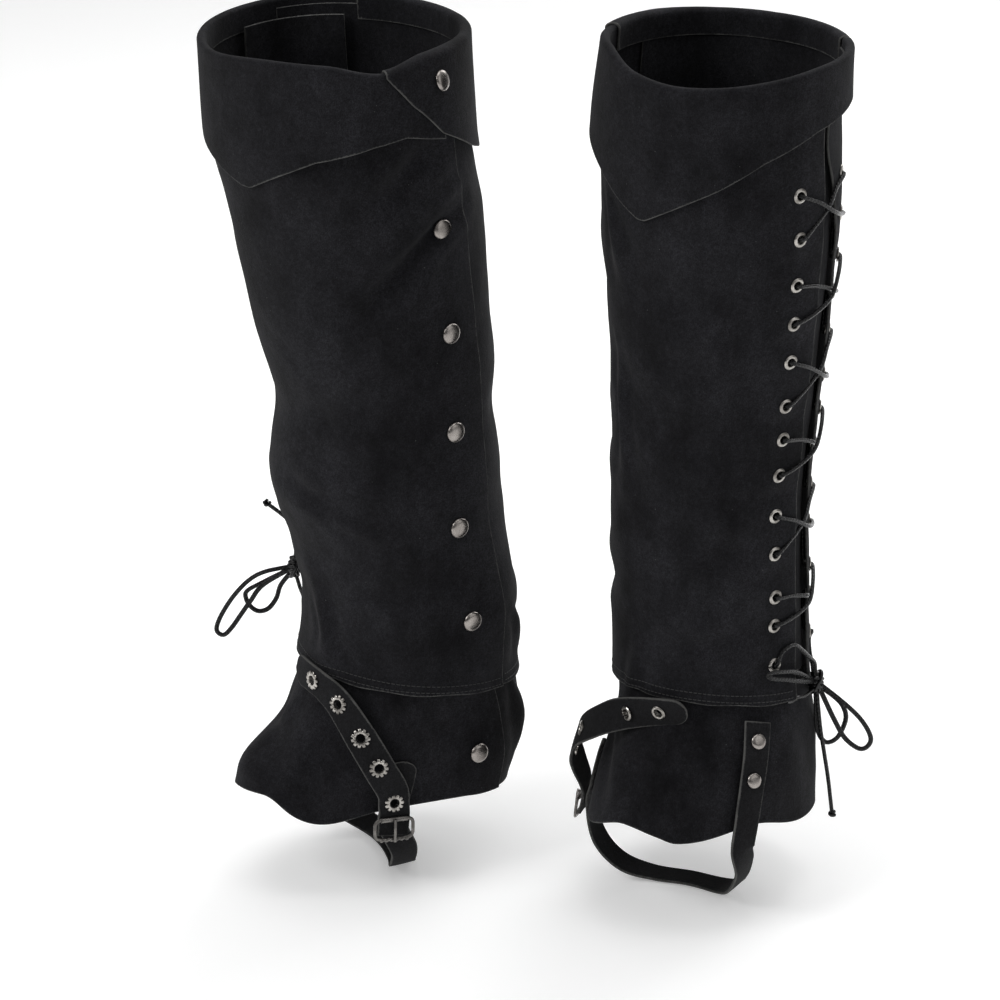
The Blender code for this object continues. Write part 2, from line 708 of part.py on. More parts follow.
def rivets(cover, look):
    """Two rivets that hold the sole strap's outer end."""
    for index, height in enumerate(RIVET_HEIGHTS):
        name = f"rivet_{index + 1}_{cover.name}"
        seat_on(cover, name, SOLE_TURN, height, "sole_strap", RIVET_RADIUS, RIVET_HEIGHT, look)


def build():
    """Build both covers."""
    clear_scene()
    suede = material("suede", SUEDE, 0.95, 0.0)
    strap_look = material("strap", STRAP_BLACK, 0.6, 0.0)
    nickel = material("nickel", NICKEL, 0.3, 1.0)
    lace_look = material("lace", LACE_BLACK, 0.35, 0.0)
    for cover in COVERS:
        shaft_panels(cover, suede)
        foot_panels(cover, suede)
        collar(cover, suede)
        instep_strap(cover, strap_look)
        sole_strap(cover, strap_look)
        buckle(cover, nickel)
        snaps(cover, nickel)
        rivets(cover, nickel)
        laces(cover, lace_look)


build()
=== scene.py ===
"""Boot covers: an add-on that dresses a packed pair of knee-high suede boot covers, piece by piece."""

import math

import bmesh
import bpy
import numpy as np
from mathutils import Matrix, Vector


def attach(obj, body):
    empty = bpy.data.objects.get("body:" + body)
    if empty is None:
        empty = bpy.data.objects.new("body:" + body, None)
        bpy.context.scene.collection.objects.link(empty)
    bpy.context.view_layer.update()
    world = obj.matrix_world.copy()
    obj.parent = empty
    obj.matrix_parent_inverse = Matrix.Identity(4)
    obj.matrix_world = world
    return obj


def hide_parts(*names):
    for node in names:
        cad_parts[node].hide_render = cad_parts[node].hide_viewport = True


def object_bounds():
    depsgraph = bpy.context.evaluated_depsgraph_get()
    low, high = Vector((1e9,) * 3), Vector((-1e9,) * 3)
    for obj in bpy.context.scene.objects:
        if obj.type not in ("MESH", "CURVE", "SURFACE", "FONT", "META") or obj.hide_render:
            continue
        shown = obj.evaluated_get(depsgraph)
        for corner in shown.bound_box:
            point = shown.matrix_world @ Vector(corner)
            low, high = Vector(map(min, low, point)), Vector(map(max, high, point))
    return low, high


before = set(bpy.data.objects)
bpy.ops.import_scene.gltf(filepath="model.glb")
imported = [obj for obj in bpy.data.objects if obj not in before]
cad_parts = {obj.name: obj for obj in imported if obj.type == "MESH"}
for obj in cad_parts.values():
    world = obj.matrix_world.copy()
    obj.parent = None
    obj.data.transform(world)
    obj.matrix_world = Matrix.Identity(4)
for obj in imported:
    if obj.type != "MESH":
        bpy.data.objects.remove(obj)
CAD_BOX = [[float(value) for value in corner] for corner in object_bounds()]

bl_info = {
    "name": "Boot Covers",
    "version": (1, 0, 0),
    "blender": (4, 5, 0),
    "location": "3D View > Sidebar > Boot Covers",
    "description": "Dresses a pair of suede boot covers with panels, straps, hardware and laces",
    "category": "Object",
}

MM = 0.001
VIEW_TURN = 45.0
TOE_OUT = 18.0
HOLD_HEIGHT = 150.0
PLACKET_EDGE = -122.0
PLACKET_TUCK = -110.0
LACE_EDGE_FRONT = 79.0
LACE_EDGE_BACK = 104.0
EYELETS_FRONT = 62.0
EYELET_HEIGHTS = (453, 427, 399, 375, 351, 323, 302, 279, 253, 229, 201, 182, 157)
SEAM_MIDDLE = 127.0
SEAM_RISE = 11.0
COLLAR_SEAM = 125.0
SOLE_TURN = 52.0

# Rings from the foot upwards: height, shift to the right of the view, then the reach from the middle
# to the front, the back, the outer side and the inner side.
SECTIONS = {
    "left": (
        (20, 0, 124, 62, 79, 59), (42, 0, 118, 62, 78, 58), (76, 1, 100, 63, 76, 55),
        (110, 4, 78, 62, 70, 52), (135, 6, 62, 59, 62, 56), (177, 7, 59, 58, 59, 59),
        (242, 5, 59, 59, 59, 59), (306, 7, 61, 61, 61, 61), (363, 8, 65, 65, 65, 65),
        (437, 8, 69, 68, 69, 69), (485, 7, 70, 68, 69, 69), (535, 9, 69, 67, 68, 68),
    ),
    "right": (
        (20, -2, 148, 50, 62, 57), (48, -3, 142, 53, 62, 56), (77, -5, 117, 66, 62, 57),
        (100, -9, 94, 69, 62, 58), (130, -14, 71, 67, 62, 61), (172, -13, 65, 66, 62, 63),
        (210, -19, 65, 65, 65, 65), (253, -27, 69, 69, 69, 69), (303, -27, 66, 66, 66, 66),
        (353, -34, 70, 70, 70, 70), (428, -43, 75, 73, 75, 73), (470, -50, 77, 73, 77, 75),
        (535, -53, 77, 73, 77, 75),
    ),
}
# Free edges as (turn from the toe in degrees, plus is the outer side; height).
HEM = {
    "left": (
        (-180, 47), (-110, 47), (-62, 54), (-40, 58), (-5, 71), (14, 66), (24, 63), (55, 65), (90, 51),
        (180, 47),
    ),
    "right": (
        (-180, 49), (-130, 51), (-85, 56), (-68, 56), (-50, 51), (-18, 67), (20, 62), (90, 50),
        (180, 49),
    ),
}
RIM = {
    "left": (
        (-180, 523), (-90, 526), (-52, 528), (-24, 520), (2, 517), (20, 518), (45, 521), (77, 524),
        (120, 524), (180, 523),
    ),
    "right": (
        (-180, 524), (-128, 526), (-105, 525), (-84, 519), (-60, 525), (-37, 526), (10, 521),
        (90, 523), (180, 524),
    ),
}
COLLAR_FRONT_EDGE = {
    "left": (
        (-114, 479), (-93, 482), (-78, 477), (-47, 457), (-30, 444), (-18, 437), (-14, 437),
        (8, 452), (22, 461), (43, 476), (71, 489), (104, 496), (126, 497),
    ),
    "right": (
        (-114, 476), (-93, 482), (-78, 480), (-54, 471), (-32, 457), (-20, 449), (-15, 449),
        (6, 459), (22, 466), (43, 478), (71, 490), (104, 496), (126, 497),
    ),
}
COLLAR_BACK_EDGE = ((-235, 497), (-205, 480), (-178, 466), (-153, 457))
# The closing tab's slanted front edge: share of the way up, turn.
TAB_EDGE = ((0.0, -150), (0.1, -135), (0.35, -111), (0.67, -96), (1.0, -85))
# Broad folds: turn, height, end turn, end height, half width, depth. A trough is plus, a ridge is minus.
FOLDS = {
    "left": (
        (-50, 345, 10, 300, 13, 2.2), (-30, 215, 30, 250, 12, -1.6), (20, 420, 45, 330, 14, 1.6),
        (-150, 300, -190, 270, 14, 2.4), (-160, 190, -210, 205, 12, 1.8),
    ),
    "right": (
        (-99, 430, -62, 372, 12, 3.4), (-92, 472, -60, 405, 12, 2.2), (-30, 306, 20, 296, 13, 3.0),
        (-8, 200, -12, 148, 11, -2.6), (-145, 300, -190, 270, 14, 2.4), (-160, 190, -210, 205, 12, 1.8),
    ),
}
# Soft creases: turn and height of the start, the bend and the end, half width, depth.
CREASES = {
    "left": (
        (-47, 446, -34, 417, -29, 389, 5.5, -2.0), (-43, 352, -34, 305, -34, 262, 5, -2.1),
        (-18, 168, 20, 168, 66, 190, 9, 2.0), (-33, 132, -24, 146, -22, 168, 5, -1.1),
        (-12, 400, 8, 383, 40, 392, 15, 1.1), (5, 245, 30, 228, 58, 236, 10, 1.0),
        (48, 412, 62, 413, 80, 410, 6, 0.9), (48, 363, 62, 364, 80, 362, 6, 0.9),
        (46, 312, 62, 313, 80, 311, 6, 0.9), (46, 266, 62, 266, 80, 265, 6, 0.9),
        (48, 215, 62, 215, 80, 214, 6, 0.9), (-95, 420, -78, 405, -58, 372, 8, 1.6),
        (-100, 300, -80, 284, -60, 292, 9, 1.4), (-96, 205, -74, 190, -50, 200, 8, 1.5),
        (-140, 430, -168, 410, -200, 418, 9, 1.6), (-150, 345, -175, 352, -215, 330, 8, 1.4),
        (-145, 240, -180, 226, -225, 240, 8, 1.6), (-150, 165, -185, 152, -215, 163, 7, 1.5),
    ),
    "right": (
        (-112, 474, -92, 462, -74, 430, 8, 3.6), (-124, 432, -96, 424, -60, 368, 6, 3.8),
        (-122, 446, -96, 441, -74, 416, 5.5, -2.0), (-12, 192, -15, 169, -20, 146, 5, -2.2),
        (-5, 262, -25, 256, -44, 254, 7, 1.6), (-36, 250, -46, 237, -68, 235, 5, -1.0),
        (-40, 196, -60, 196, -84, 204, 9, 1.7), (-62, 370, -40, 345, -18, 330, 12, 1.4),
        (-20, 300, -45, 296, -66, 304, 11, -1.2), (22, 420, 40, 395, 58, 372, 9, 1.2),
        (14, 250, 36, 236, 60, 244, 9, 1.5), (18, 185, 40, 176, 64, 188, 8, 1.5),
        (-166, 430, -190, 414, -215, 420, 9, 1.6), (-166, 350, -188, 340, -218, 352, 8, 1.5),
        (-166, 236, -190, 246, -225, 232, 8, 1.6), (-135, 168, -150, 150, -158, 130, 6, -1.8),
        (48, 412, 62, 413, 80, 410, 6, 0.9), (46, 312, 62, 313, 80, 311, 6, 0.9),
    ),
}
FOOT_CREASES = {
    "left": (
        (-60, 118, -38, 92, -30, 62, 7, 1.4), (-40, 126, -20, 104, -8, 74, 9, -1.2),
        (20, 124, 26, 100, 30, 72, 10, 0.9), (80, 118, 92, 96, 96, 62, 9, 1.1),
        (-100, 112, -88, 90, -84, 62, 8, 1.2), (-150, 114, -158, 90, -160, 58, 8, 1.6),
        (-190, 114, -196, 88, -200, 58, 8, 1.4),
    ),
    "right": (
        (-22, 76, 12, 79, 46, 76, 9.5, -4.5), (-14, 128, -18, 104, -26, 74, 8, -1.3),
        (-34, 112, -40, 90, -46, 62, 9, 1.3), (-86, 120, -84, 96, -78, 66, 9, 0.9),
        (14, 124, 22, 100, 26, 72, 9, 1.2),
        (-140, 120, -148, 96, -146, 62, 7, -1.6), (-158, 116, -164, 92, -170, 60, 7, 1.6),
        (60, 120, 66, 96, 72, 64, 9, 1.2),
    ),
}
# Stops of the instep strap: turn, height, out from the form.
INSTEP_ROUTE = {
    "left": (
        (13, 133, 4.0), (-2, 131, 4.4), (-14, 128, 5.0), (-27, 123, 8.0), (-38, 115, 13.0),
        (-50, 103, 16.0), (-59, 88, 14.5), (-65, 74, 9.5), (-68, 62, 4.0), (-69, 54, 2.3), (-69, 42, 2.3),
    ),
    "right": (
        (5, 133, 2.4), (-4, 134.5, 3.0), (-12, 134, 3.4), (-22, 131, 3.8), (-33, 124, 3.8),
        (-48, 107, 4.2), (-60, 86, 5.0), (-66, 72, 4.4), (-68, 62, 3.0), (-69, 54, 2.3), (-69, 42, 2.3),
    ),
}
# Strap eyelets: width over the flange and width of the hole.
DAISY_SIZE = (11.8, 5.8)
OVAL_SIZE = (9.2, 5.2)
PETALS = 11
# How far the strap's face leans down at each stop.
INSTEP_TILT = {
    "left": (0.62, 0.62, 0.6, 0.5, 0.3, 0.12, 0, 0, 0, 0, 0),
    "right": (0.1, 0.1, 0.05, 0, 0, 0, 0, 0, 0, 0, 0),
}
# Eyelets on the instep strap: share of the way along from the tip.
STRAP_EYELETS = {"left": (0.12, 0.26, 0.52, 0.7), "right": (0.165, 0.33, 0.503, 0.655, 0.845)}
SOLE_OUT = {"left": -0.6, "right": -1.2}
SOLE_OUTER_HEIGHTS = (124, 106, 88, 70, 54)
SOLE_UNDER = (
    (58, 60, 38, 0.85, -0.5), (47, 45, 17, 0.75, -0.7), (31, 28, 3.6, 0.35, -0.94),
    (8, 26, 2.4, 0.0, -1.0), (-14, 30, 2.8, -0.1, -0.99), (-32, 38, 10, -0.6, -0.8),
    (-45, 43, 26, -0.85, -0.5),
)
SOLE_INNER = ((-69, 48, -1.2), (-69, 60, -1.2), (-69, 73, -1.2), (-69, 87, -1.2))
BUCKLE_PLACE = (-69.0, 47.0, 5.0)
# Snap caps from the collar tab down: turn, height, out from the form.
SNAPS = (
    (-111, 512, 6.5), (-108, 421, 1.6), (-104, 359, 1.6), (-101, 297, 1.6), (-100, 237, 1.6),
    (-98, 175, 1.6), (-99, 83, -2.6),
)
RIVET_HEIGHTS = (114, 93)
# Middle of each knot as turn, height and out, then a shift to the right, nearer and up in the view.
KNOTS = {"left": (101, 130, 7.0), "right": (66, 167, 24.0)}
BOW_SHIFT = {"left": (-3.4, 0, 1.8), "right": (-6, 0, -3.4)}
# The knot's half sizes, and how far the cords' ends sink into it.
KNOT_SIZE = (4.0, 4.0, 6.4)
KNOT_SINK = 1.6
# Lower ends of the two strands: (turn, height, out) on the way from the last eyelets to the knot.
LACE_TAILS = {
    "left": (
        (
            (65.5, 163.5, 3), (70, 166.5, 3.4), (76, 166, 3.4), (82, 161, 3.4), (90, 153, 3.6),
            (98, 145, 4.4),
        ),
        ((119, 151, -0.4), (116, 143, -0.4), (111, 137, 0.8)),
    ),
    "right": (((60, 176, 12.0),), ((103, 178, 7.0), (86, 184, 17.0))),
}
# Ways from each knot to the ends of the two strands: to the right of the view, nearer in the view, up.
TAIL_ENDS = {"left": ((-2, 2, 9.6), (-5, -8, 4)), "right": ((-2, 2, 9.6), (3, -2, 9.6))}
# Stops of a short curled end, of the bows' loops and of the free ends, from the knot in the same way.
KNOT_CURLS = {
    "left": ((-2, 5, -3), (-8.4, 13, -3.6), (-12.5, 18, -2.2), (-16, 22, -3), (-19, 26, -1)),
    "right": (),
}
BOWS = {
    "left": {
        "bow_loop_1": (
            (8, 3, -4), (16, 3, -12), (26, 3, -22), (32, 3, -31), (34, 3, -38), (31, 3, -43),
            (26, 3, -43), (18, 3, -36), (11, 3, -23), (6, 3, -11),
        ),
        "bow_loop_2": (
            (5, -3, -9), (12, -3, -12), (17, -3, -18), (19, -3, -26), (16, -3, -36),
            (12, -3, -41), (7, -3, -42), (3, -2, -36), (1, -1, -26), (0, 0, -11),
        ),
        "bow_loop_3": (
            (-7, 10, 8.5), (-14, 22, 16.5), (-22, 32, 21.5), (-28, 37, 23.5), (-32, 38.5, 22.5),
            (-29, 37, 19.5), (-21, 30, 15.5), (-12, 20, 9.8), (-5, 12, 4.8),
        ),
        "lace_end_1": ((1, 4, -11), (3, 4, -28), (6, 4, -46), (9, 3, -64), (12, 3, -87)),
    },
    "right": {
        "bow_loop_1": (
            (-8, 2, 1), (-19, 2, -3), (-29, 2, -9), (-38, 2, -19), (-45, 2, -30), (-49, 2, -39),
            (-49, 2, -44), (-45, 2, -46), (-40, 2, -41), (-34, 2, -32), (-28, 2, -23), (-20, 2, -12),
            (-8, 2, -4),
        ),
        "bow_loop_2": (
            (-4, -3, -9), (-9, -3, -14), (-12, -3, -23), (-17, -3, -30), (-23, -3, -32),
            (-28, -3, -29), (-31, -3, -23), (-30, -3, -18), (-20, -3, -12), (-9, -3, -6),
        ),
        "lace_end_1": ((1, -4, 10), (1, -5, 20), (-4, -4, 30), (-16, -3, 41)),
        "lace_end_2": ((1, 1, -7), (3, 2, -13), (5, 5, -17), (8, 8, -25), (13, 9, -33), (15, 8, -39)),
    },
}
CAMERA_TARGET = (-0.09989, -0.07998, 0.08657)
CAMERA_ELEVATION = 23.0
CAMERA_DISTANCE = 2.5
CAMERA_LENS = 150.0
SHARP_TURN = 38.0
FLAP_LIFT = 3.4
# A cover's usual radius, for turning degrees into mm, and how far things stand behind the form.
MEAN_RADIUS = 66.0
BACK_TUCK = -2.2
TONGUE_DEPTH = -7.0
TONGUE_TOP = 514.0
# Cut edges: bulge, hole reach, and marks that the inner face and the middle of a panel carry.
EDGE_BULGE = 0.35
ALL_SIDES = ("start", "end", "low", "high")
CUT_SIDES = ("start", "end", "low")
HOLE_REACH = 2.9
STRAP_HOLE_REACH = 2.7
INSIDE_MARK = 50
FAR_MARK = 99.0
# Points of a crease's bend, of a route between two stops, and across a strap.
BEND_PARTS = 10
ROUTE_PARTS = 16
STRAP_COLUMNS = 17
STRAP_CUP = 0.35
INSTEP_TIP = 11.0
SOLE_TIP = 7.0
# Foot pieces as (name, first turn, last turn, how far out), and how far they reach over the seam.
FOOT_PANELS = (("foot_front", -119.0, 128.0, -4.4), ("foot_back", -242.0, -106.0, -6.6))
FOOT_LAP = 8.0
# Collar: its radius and depth for spacing points, where the front flap starts, the inside drop.
COLLAR_RADIUS = 68
COLLAR_FALL = 50.0
COLLAR_START = -114.0
COLLAR_DROPS = (4.0, 8.0, 13.0)
# Lace: spacing of its points, sides of its tube, and the eyelet row that it leaves from.
LACE_GAP = 1.1
LACE_SIDES = 12
LAST_ROW = 12
# A loop's width and thickness against the lace's own, and the sides of small and large eyelets.
LOOP_SHAPE = (1.2, 0.72)
EYELET_SIDES = 28
DAISY_SIDES = 88
# Stitches of the ankle seam: step, share that shows, width and thickness, heights over the seam,
# and runs as (first turn, last turn, how far the panel lies out).
STITCH_STEP = 2.55
STITCH_SHARE = 0.72
STITCH_SIZE = (0.55, 0.4)
STITCH_SIDES = 6
STITCH_ROWS = (2.2, 6.4)
STITCH_RUNS = ((-120.0, 77.0, 0.0), (-254.0, -124.0, BACK_TUCK))
BUCKLE_SIZE = (24.0, 13.5)
# Rivets and snap caps.
RIVET_RADIUS = 4.75
RIVET_HEIGHT = 2.1
CAP_HEIGHT = 2.5
CAP_SIDES = 40
# One wave in radians, as the cloth's waviness and the lace's braid read it.
CLOTH_WAVE = 6.28
BRAID_WAVE = 6.28318
# The floor's half width and how far it lies under the covers, in metres.
FLOOR_REACH = 60.0
FLOOR_GAP = 0.0004
# The back panel's laced edge leans forward near the top: height, turn of the edge, turn of its eyelets.
BACK_EDGE = (
    (110, 104, 117), (370, 104, 117), (399, 103, 114), (427, 98, 108), (453, 91, 104), (475, 86, 101),
    (540, 86, 101),
)


class CoverSettings(bpy.types.PropertyGroup):
    """Sizes and finishes that the pieces share."""

    cloth_wall: bpy.props.FloatProperty(
        name="Cloth Wall", description="Thickness of the suede", default=0.0015, unit="LENGTH"
    )
    strap_wall: bpy.props.FloatProperty(
        name="Strap Wall", description="Thickness of the straps", default=0.0018, unit="LENGTH"
    )
    instep_width: bpy.props.FloatProperty(
        name="Instep Strap Width", description="Width of the instep straps", default=0.019, unit="LENGTH"
    )
    sole_width: bpy.props.FloatProperty(
        name="Sole Strap Width", description="Width of the sole straps", default=0.0165, unit="LENGTH"
    )
    grid_step: bpy.props.FloatProperty(
        name="Grid Step", description="Spacing of the cloth's points", default=0.0019, unit="LENGTH"
    )
    crease_depth: bpy.props.FloatProperty(
        name="Crease Depth", description="Strength of the creases", default=1.5, min=0.0, max=2.0
    )
    lace_width: bpy.props.FloatProperty(
        name="Lace Width", description="Diameter of the lace", default=0.0025, unit="LENGTH"
    )
    cap_width: bpy.props.FloatProperty(
        name="Snap Width", description="Diameter of the snap caps", default=0.0125, unit="LENGTH"
    )
    eyelet_width: bpy.props.FloatProperty(
        name="Eyelet Width", description="Diameter of the lace eyelets", default=0.009, unit="LENGTH"
    )
    suede_colour: bpy.props.FloatVectorProperty(
        name="Suede Colour", description="Base colour of the suede", subtype="COLOR", size=4,
        default=(0.0072, 0.0072, 0.0084, 1.0), min=0.0, max=1.0,
    )
    key_power: bpy.props.FloatProperty(
        name="Key Light", description="Power of the main light", default=23.0, unit="POWER"
    )


def read_table(table, at):
    """Read a table's columns at many places on a smooth curve that never overshoots its rows."""
    rows = np.array(table, float)
    x, y = rows[:, 0], rows[:, 1:]
    step = np.diff(x)[:, None]
    slope = np.diff(y, axis=0) / step
    low, high = slope[:-1], slope[1:]
    same = low * high > 0
    middle = np.where(same, 2 * low * high / np.where(same, low + high, 1), 0)
    tangent = np.vstack([slope[:1], middle, slope[-1:]])
    at = np.clip(np.asarray(at, float), x[0], x[-1])
    k = np.clip(np.searchsorted(x, at, side="right") - 1, 0, len(x) - 2)
    width = step[k]
    t = ((at - x[k])[..., None]) / width
    return (
        (2 * t**3 - 3 * t**2 + 1) * y[k]
        + (t**3 - 2 * t**2 + t) * width * tangent[k]
        + (3 * t**2 - 2 * t**3) * y[k + 1]
        + (t**3 - t**2) * width * tangent[k + 1]
    )


def straight_table(table, at):
    """Read a table of two columns on straight lines."""
    rows = np.array(table, float)
    return np.interp(at, rows[:, 0], rows[:, 1])


def wrapped(turn):
    """A turn brought between -180 and 180."""
    return (np.asarray(turn, float) + 180) % 360 - 180


class Cover:
    """One cover: its place on the floor, its hand and the form that its panels follow, in mm."""

    def __init__(self, name, hand, place):
        self.name = name
        self.hand = hand
        self.place = np.array([place[0], place[1], 0.0])
        turn = math.radians(hand * TOE_OUT)
        self.toe = np.array([math.sin(turn), -math.cos(turn), 0])
        self.outer = np.array([hand * math.cos(turn), hand * math.sin(turn), 0])

    def point(self, turn, height, out=0.0):
        """Points of the form at turns from the toe and heights above the floor, moved out."""
        turn, height, out = np.broadcast_arrays(*(np.asarray(v, float) for v in (turn, height, out)))
        columns = read_table(SECTIONS[self.name], height)
        shift, front, back, outer, inner = np.moveaxis(columns, -1, 0)
        out = out - self.fold_depth(turn, height, (outer + inner) / 2)
        angle = np.radians(turn)
        across, along = np.sin(angle), np.cos(angle)
        width = np.where(across > 0, outer, inner)
        length = np.where(along > 0, front, back)
        slope = np.stack([across / width, along / length], axis=-1)
        slope /= np.linalg.norm(slope, axis=-1, keepdims=True)
        flat = self.outer * (width * across + out * slope[..., 0])[..., None]
        flat = flat + self.toe * (length * along + out * slope[..., 1])[..., None]
        flat = flat + self.place + VIEW_RIGHT * shift[..., None]
        flat[..., 2] = height
        return flat

    def fold_depth(self, turn, height, radius):
        """How deep the broad folds press the form in."""
        arc = np.radians(radius)
        turn = np.where(turn > LACE_EDGE_BACK, turn - 360, turn)
        depth = np.zeros_like(height)
        for t0, z0, t1, z1, half_width, deep in FOLDS[self.name]:
            run, rise = (t1 - t0) * arc, z1 - z0
            x, y = (turn - t0) * arc, height - z0
            share = np.clip((x * run + y * rise) / (run * run + rise * rise), 0, 1)
            away = np.hypot(x - share * run, y - share * rise) / half_width
            depth += deep * np.exp(-away * away)
        return depth

    def crease_depth(self, turn, height, table):
        """Uneven creases that fade out at their ends, and the cloth's own slight waviness."""
        arc = math.radians(MEAN_RADIUS)
        turn = np.where(turn > COLLAR_SEAM, turn - 360, turn)
        depth = np.zeros_like(height)
        for t0, z0, t1, z1, t2, z2, half_width, deep in table:
            near = np.full_like(height, 1e9)
            along = np.zeros_like(height)
            for i in range(BEND_PARTS):
                s, e = i / BEND_PARTS, (i + 1) / BEND_PARTS
                ax, ay = bend(t0, t1, t2, s), bend(z0, z1, z2, s)
                bx, by = bend(t0, t1, t2, e), bend(z0, z1, z2, e)
                run, rise = (bx - ax) * arc, by - ay
                x, y = (turn - ax) * arc, height - ay
                share = np.clip((x * run + y * rise) / (run * run + rise * rise), 0, 1)
                away = np.hypot(x - share * run, y - share * rise)
                along = np.where(away < near, s + share / BEND_PARTS, along)
                near = np.minimum(near, away)
            fade = np.sin(np.pi * np.clip(along, 0.04, 0.96)) ** 0.8
            wide = half_width * (0.75 + 0.5 * along + 0.2 * np.sin(7 * along + t0))
            away = near / wide
            depth += deep * fade * (np.exp(-away**2) - 0.35 * np.exp(-((away - 1.9) / 0.8) ** 2))
        x, y = turn * arc, height
        for wave, tilt, phase, tall in WAVES:
            go = x * math.cos(tilt) + y * math.sin(tilt)
            side = x * math.sin(tilt) - y * math.cos(tilt)
            depth += tall * np.sin(go / wave * CLOTH_WAVE + phase + 1.3 * np.sin(side / wave * 2.1 + phase))
        return depth

    def normal(self, turn, height):
        """The form's outward direction."""
        around = self.point(turn + 1, height) - self.point(turn - 1, height)
        upward = self.point(turn, height + 1) - self.point(turn, height - 1)
        found = np.cross(around, upward)
        found /= np.linalg.norm(found, axis=-1, keepdims=True)
        outward = self.point(turn, height, 1.0) - self.point(turn, height)
        return found * np.sign(np.sum(found * outward, axis=-1, keepdims=True))


def bend(a, b, c, s):
    """A smooth bend from a to c drawn towards b."""
    return a * (1 - s) ** 2 + 2 * b * s * (1 - s) + c * s * s


# The cloth's own waviness: wave length, tilt, phase, height.
WAVES = ((61, 0.4, 0.0, 0.14), (43, 1.9, 1.7, 0.10), (29, 1.1, 3.1, 0.08), (83, 2.6, 0.6, 0.14))
VIEW = math.radians(VIEW_TURN)
VIEW_RIGHT = np.array([math.cos(VIEW), math.sin(VIEW), 0])
VIEW_NEAR = np.array([math.sin(VIEW), -math.cos(VIEW), 0])
UP = np.array([0.0, 0.0, 1.0])
HALF_STEP = VIEW_RIGHT * 81 + VIEW_NEAR * 13
COVERS = (Cover("left", 1, HALF_STEP), Cover("right", -1, -HALF_STEP))
ORIGIN = (COVERS[0].point(0, HOLD_HEIGHT) + COVERS[0].point(180, HOLD_HEIGHT)) / 2


def placed(points):
    """Points of the form in the model's own frame, in metres."""
    return (np.asarray(points) - ORIGIN) * MM


def seam_height(turn):
    """Height of the ankle seam, higher over the instep than at the heel."""
    return SEAM_MIDDLE + SEAM_RISE * np.cos(np.radians(turn))


def link(name, mesh):
    """Place a mesh in the scene as one piece of the object."""
    made = bpy.data.objects.new(name, mesh)
    bpy.context.scene.collection.objects.link(made)
    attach(made, "root")
    return made


def finish_piece(made, looks, nodes=()):
    """Give a piece its materials and hide the parts of the model that it takes the place of."""
    for look in looks:
        made.data.materials.append(bpy.data.materials[look])
    made.data.shade_smooth()
    made.data.set_sharp_from_angle(angle=math.radians(SHARP_TURN))
    if nodes:
        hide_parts(*nodes)


def lengths_along(route):
    """How far each point of a route is from its start, along it."""
    return np.concatenate([[0], np.cumsum(np.linalg.norm(np.diff(route, axis=0), axis=1))])


def unit(vectors):
    """Vectors brought to a length of one."""
    return vectors / np.linalg.norm(vectors, axis=-1, keepdims=True)


def edge_distance(grid, sides):
    """Distance of each grid point from the nearest of the named cut sides, in mm."""
    across = np.zeros(grid.shape[:2])
    across[:, 1:] = np.cumsum(np.linalg.norm(np.diff(grid, axis=1), axis=-1), axis=1)
    along = np.zeros(grid.shape[:2])
    along[1:] = np.cumsum(np.linalg.norm(np.diff(grid, axis=0), axis=-1), axis=0)
    ways = {"start": across, "end": across[:, -1:] - across, "low": along, "high": along[-1:] - along}
    far = np.full(grid.shape[:2], FAR_MARK)
    for side in sides:
        far = np.minimum(far, ways[side])
    return far


def shell(name, outer, inner, sides=ALL_SIDES, holes=(), reach=HOLE_REACH):
    """A closed thin shell between an outer and an inner grid, with rounded cut edges and holes."""
    rows, columns = outer.shape[:2]
    count = rows * columns
    index = np.arange(count).reshape(rows, columns)
    quads = np.stack([index[:-1, :-1], index[:-1, 1:], index[1:, 1:], index[1:, :-1]], axis=-1)
    quads = quads.reshape(-1, 4)
    if len(holes):
        middle = outer.reshape(-1, 3)[quads].mean(axis=1)
        gap = np.min(np.linalg.norm(middle[:, None] - np.asarray(holes)[None], axis=-1), axis=1)
        quads = quads[gap > reach]
    rim = np.concatenate([index[0, :-1], index[:-1, -1], index[-1, :0:-1], index[:0:-1, 0]])
    centre = outer[1:-1, 1:-1].mean(axis=(0, 1))
    flat_outer, flat_inner = outer.reshape(-1, 3), inner.reshape(-1, 3)
    step = np.roll(flat_outer[rim], -1, axis=0) - np.roll(flat_outer[rim], 1, axis=0)
    thick = flat_outer[rim] - flat_inner[rim]
    away = np.cross(step, thick)
    away /= np.maximum(1e-9, np.linalg.norm(away, axis=-1, keepdims=True))
    if np.sum(away * (flat_outer[rim] - centre)) < 0:
        away = -away
    bulge = (flat_outer[rim] + flat_inner[rim]) / 2 + away * EDGE_BULGE
    points = np.concatenate([flat_outer, flat_inner, bulge])
    after = np.roll(rim, -1)
    ring = 2 * count + np.arange(len(rim))
    ring_after = np.roll(ring, -1)
    edge_out = np.stack([rim, ring, ring_after, after], axis=-1)
    edge_in = np.stack([ring, rim + count, after + count, ring_after], axis=-1)
    wall = hole_walls(quads, rim, count)
    faces = np.concatenate([quads, quads[:, ::-1] + count, wall, edge_out, edge_in])
    mesh = bpy.data.meshes.new(name)
    mesh.from_pydata(placed(points).tolist(), [], faces.tolist())
    far = edge_distance(outer, sides).reshape(-1)
    values = np.concatenate([far, far + INSIDE_MARK, np.zeros(len(rim))]).astype(np.float32)
    marks = mesh.attributes.new("edge_mm", "FLOAT", "POINT")
    marks.data.foreach_set("value", values)
    kinds = np.zeros(len(faces), np.int32)
    kinds[2 * len(quads):] = 1
    mesh.polygons.foreach_set("material_index", kinds)
    turn_outward(mesh)
    return link(name, mesh)


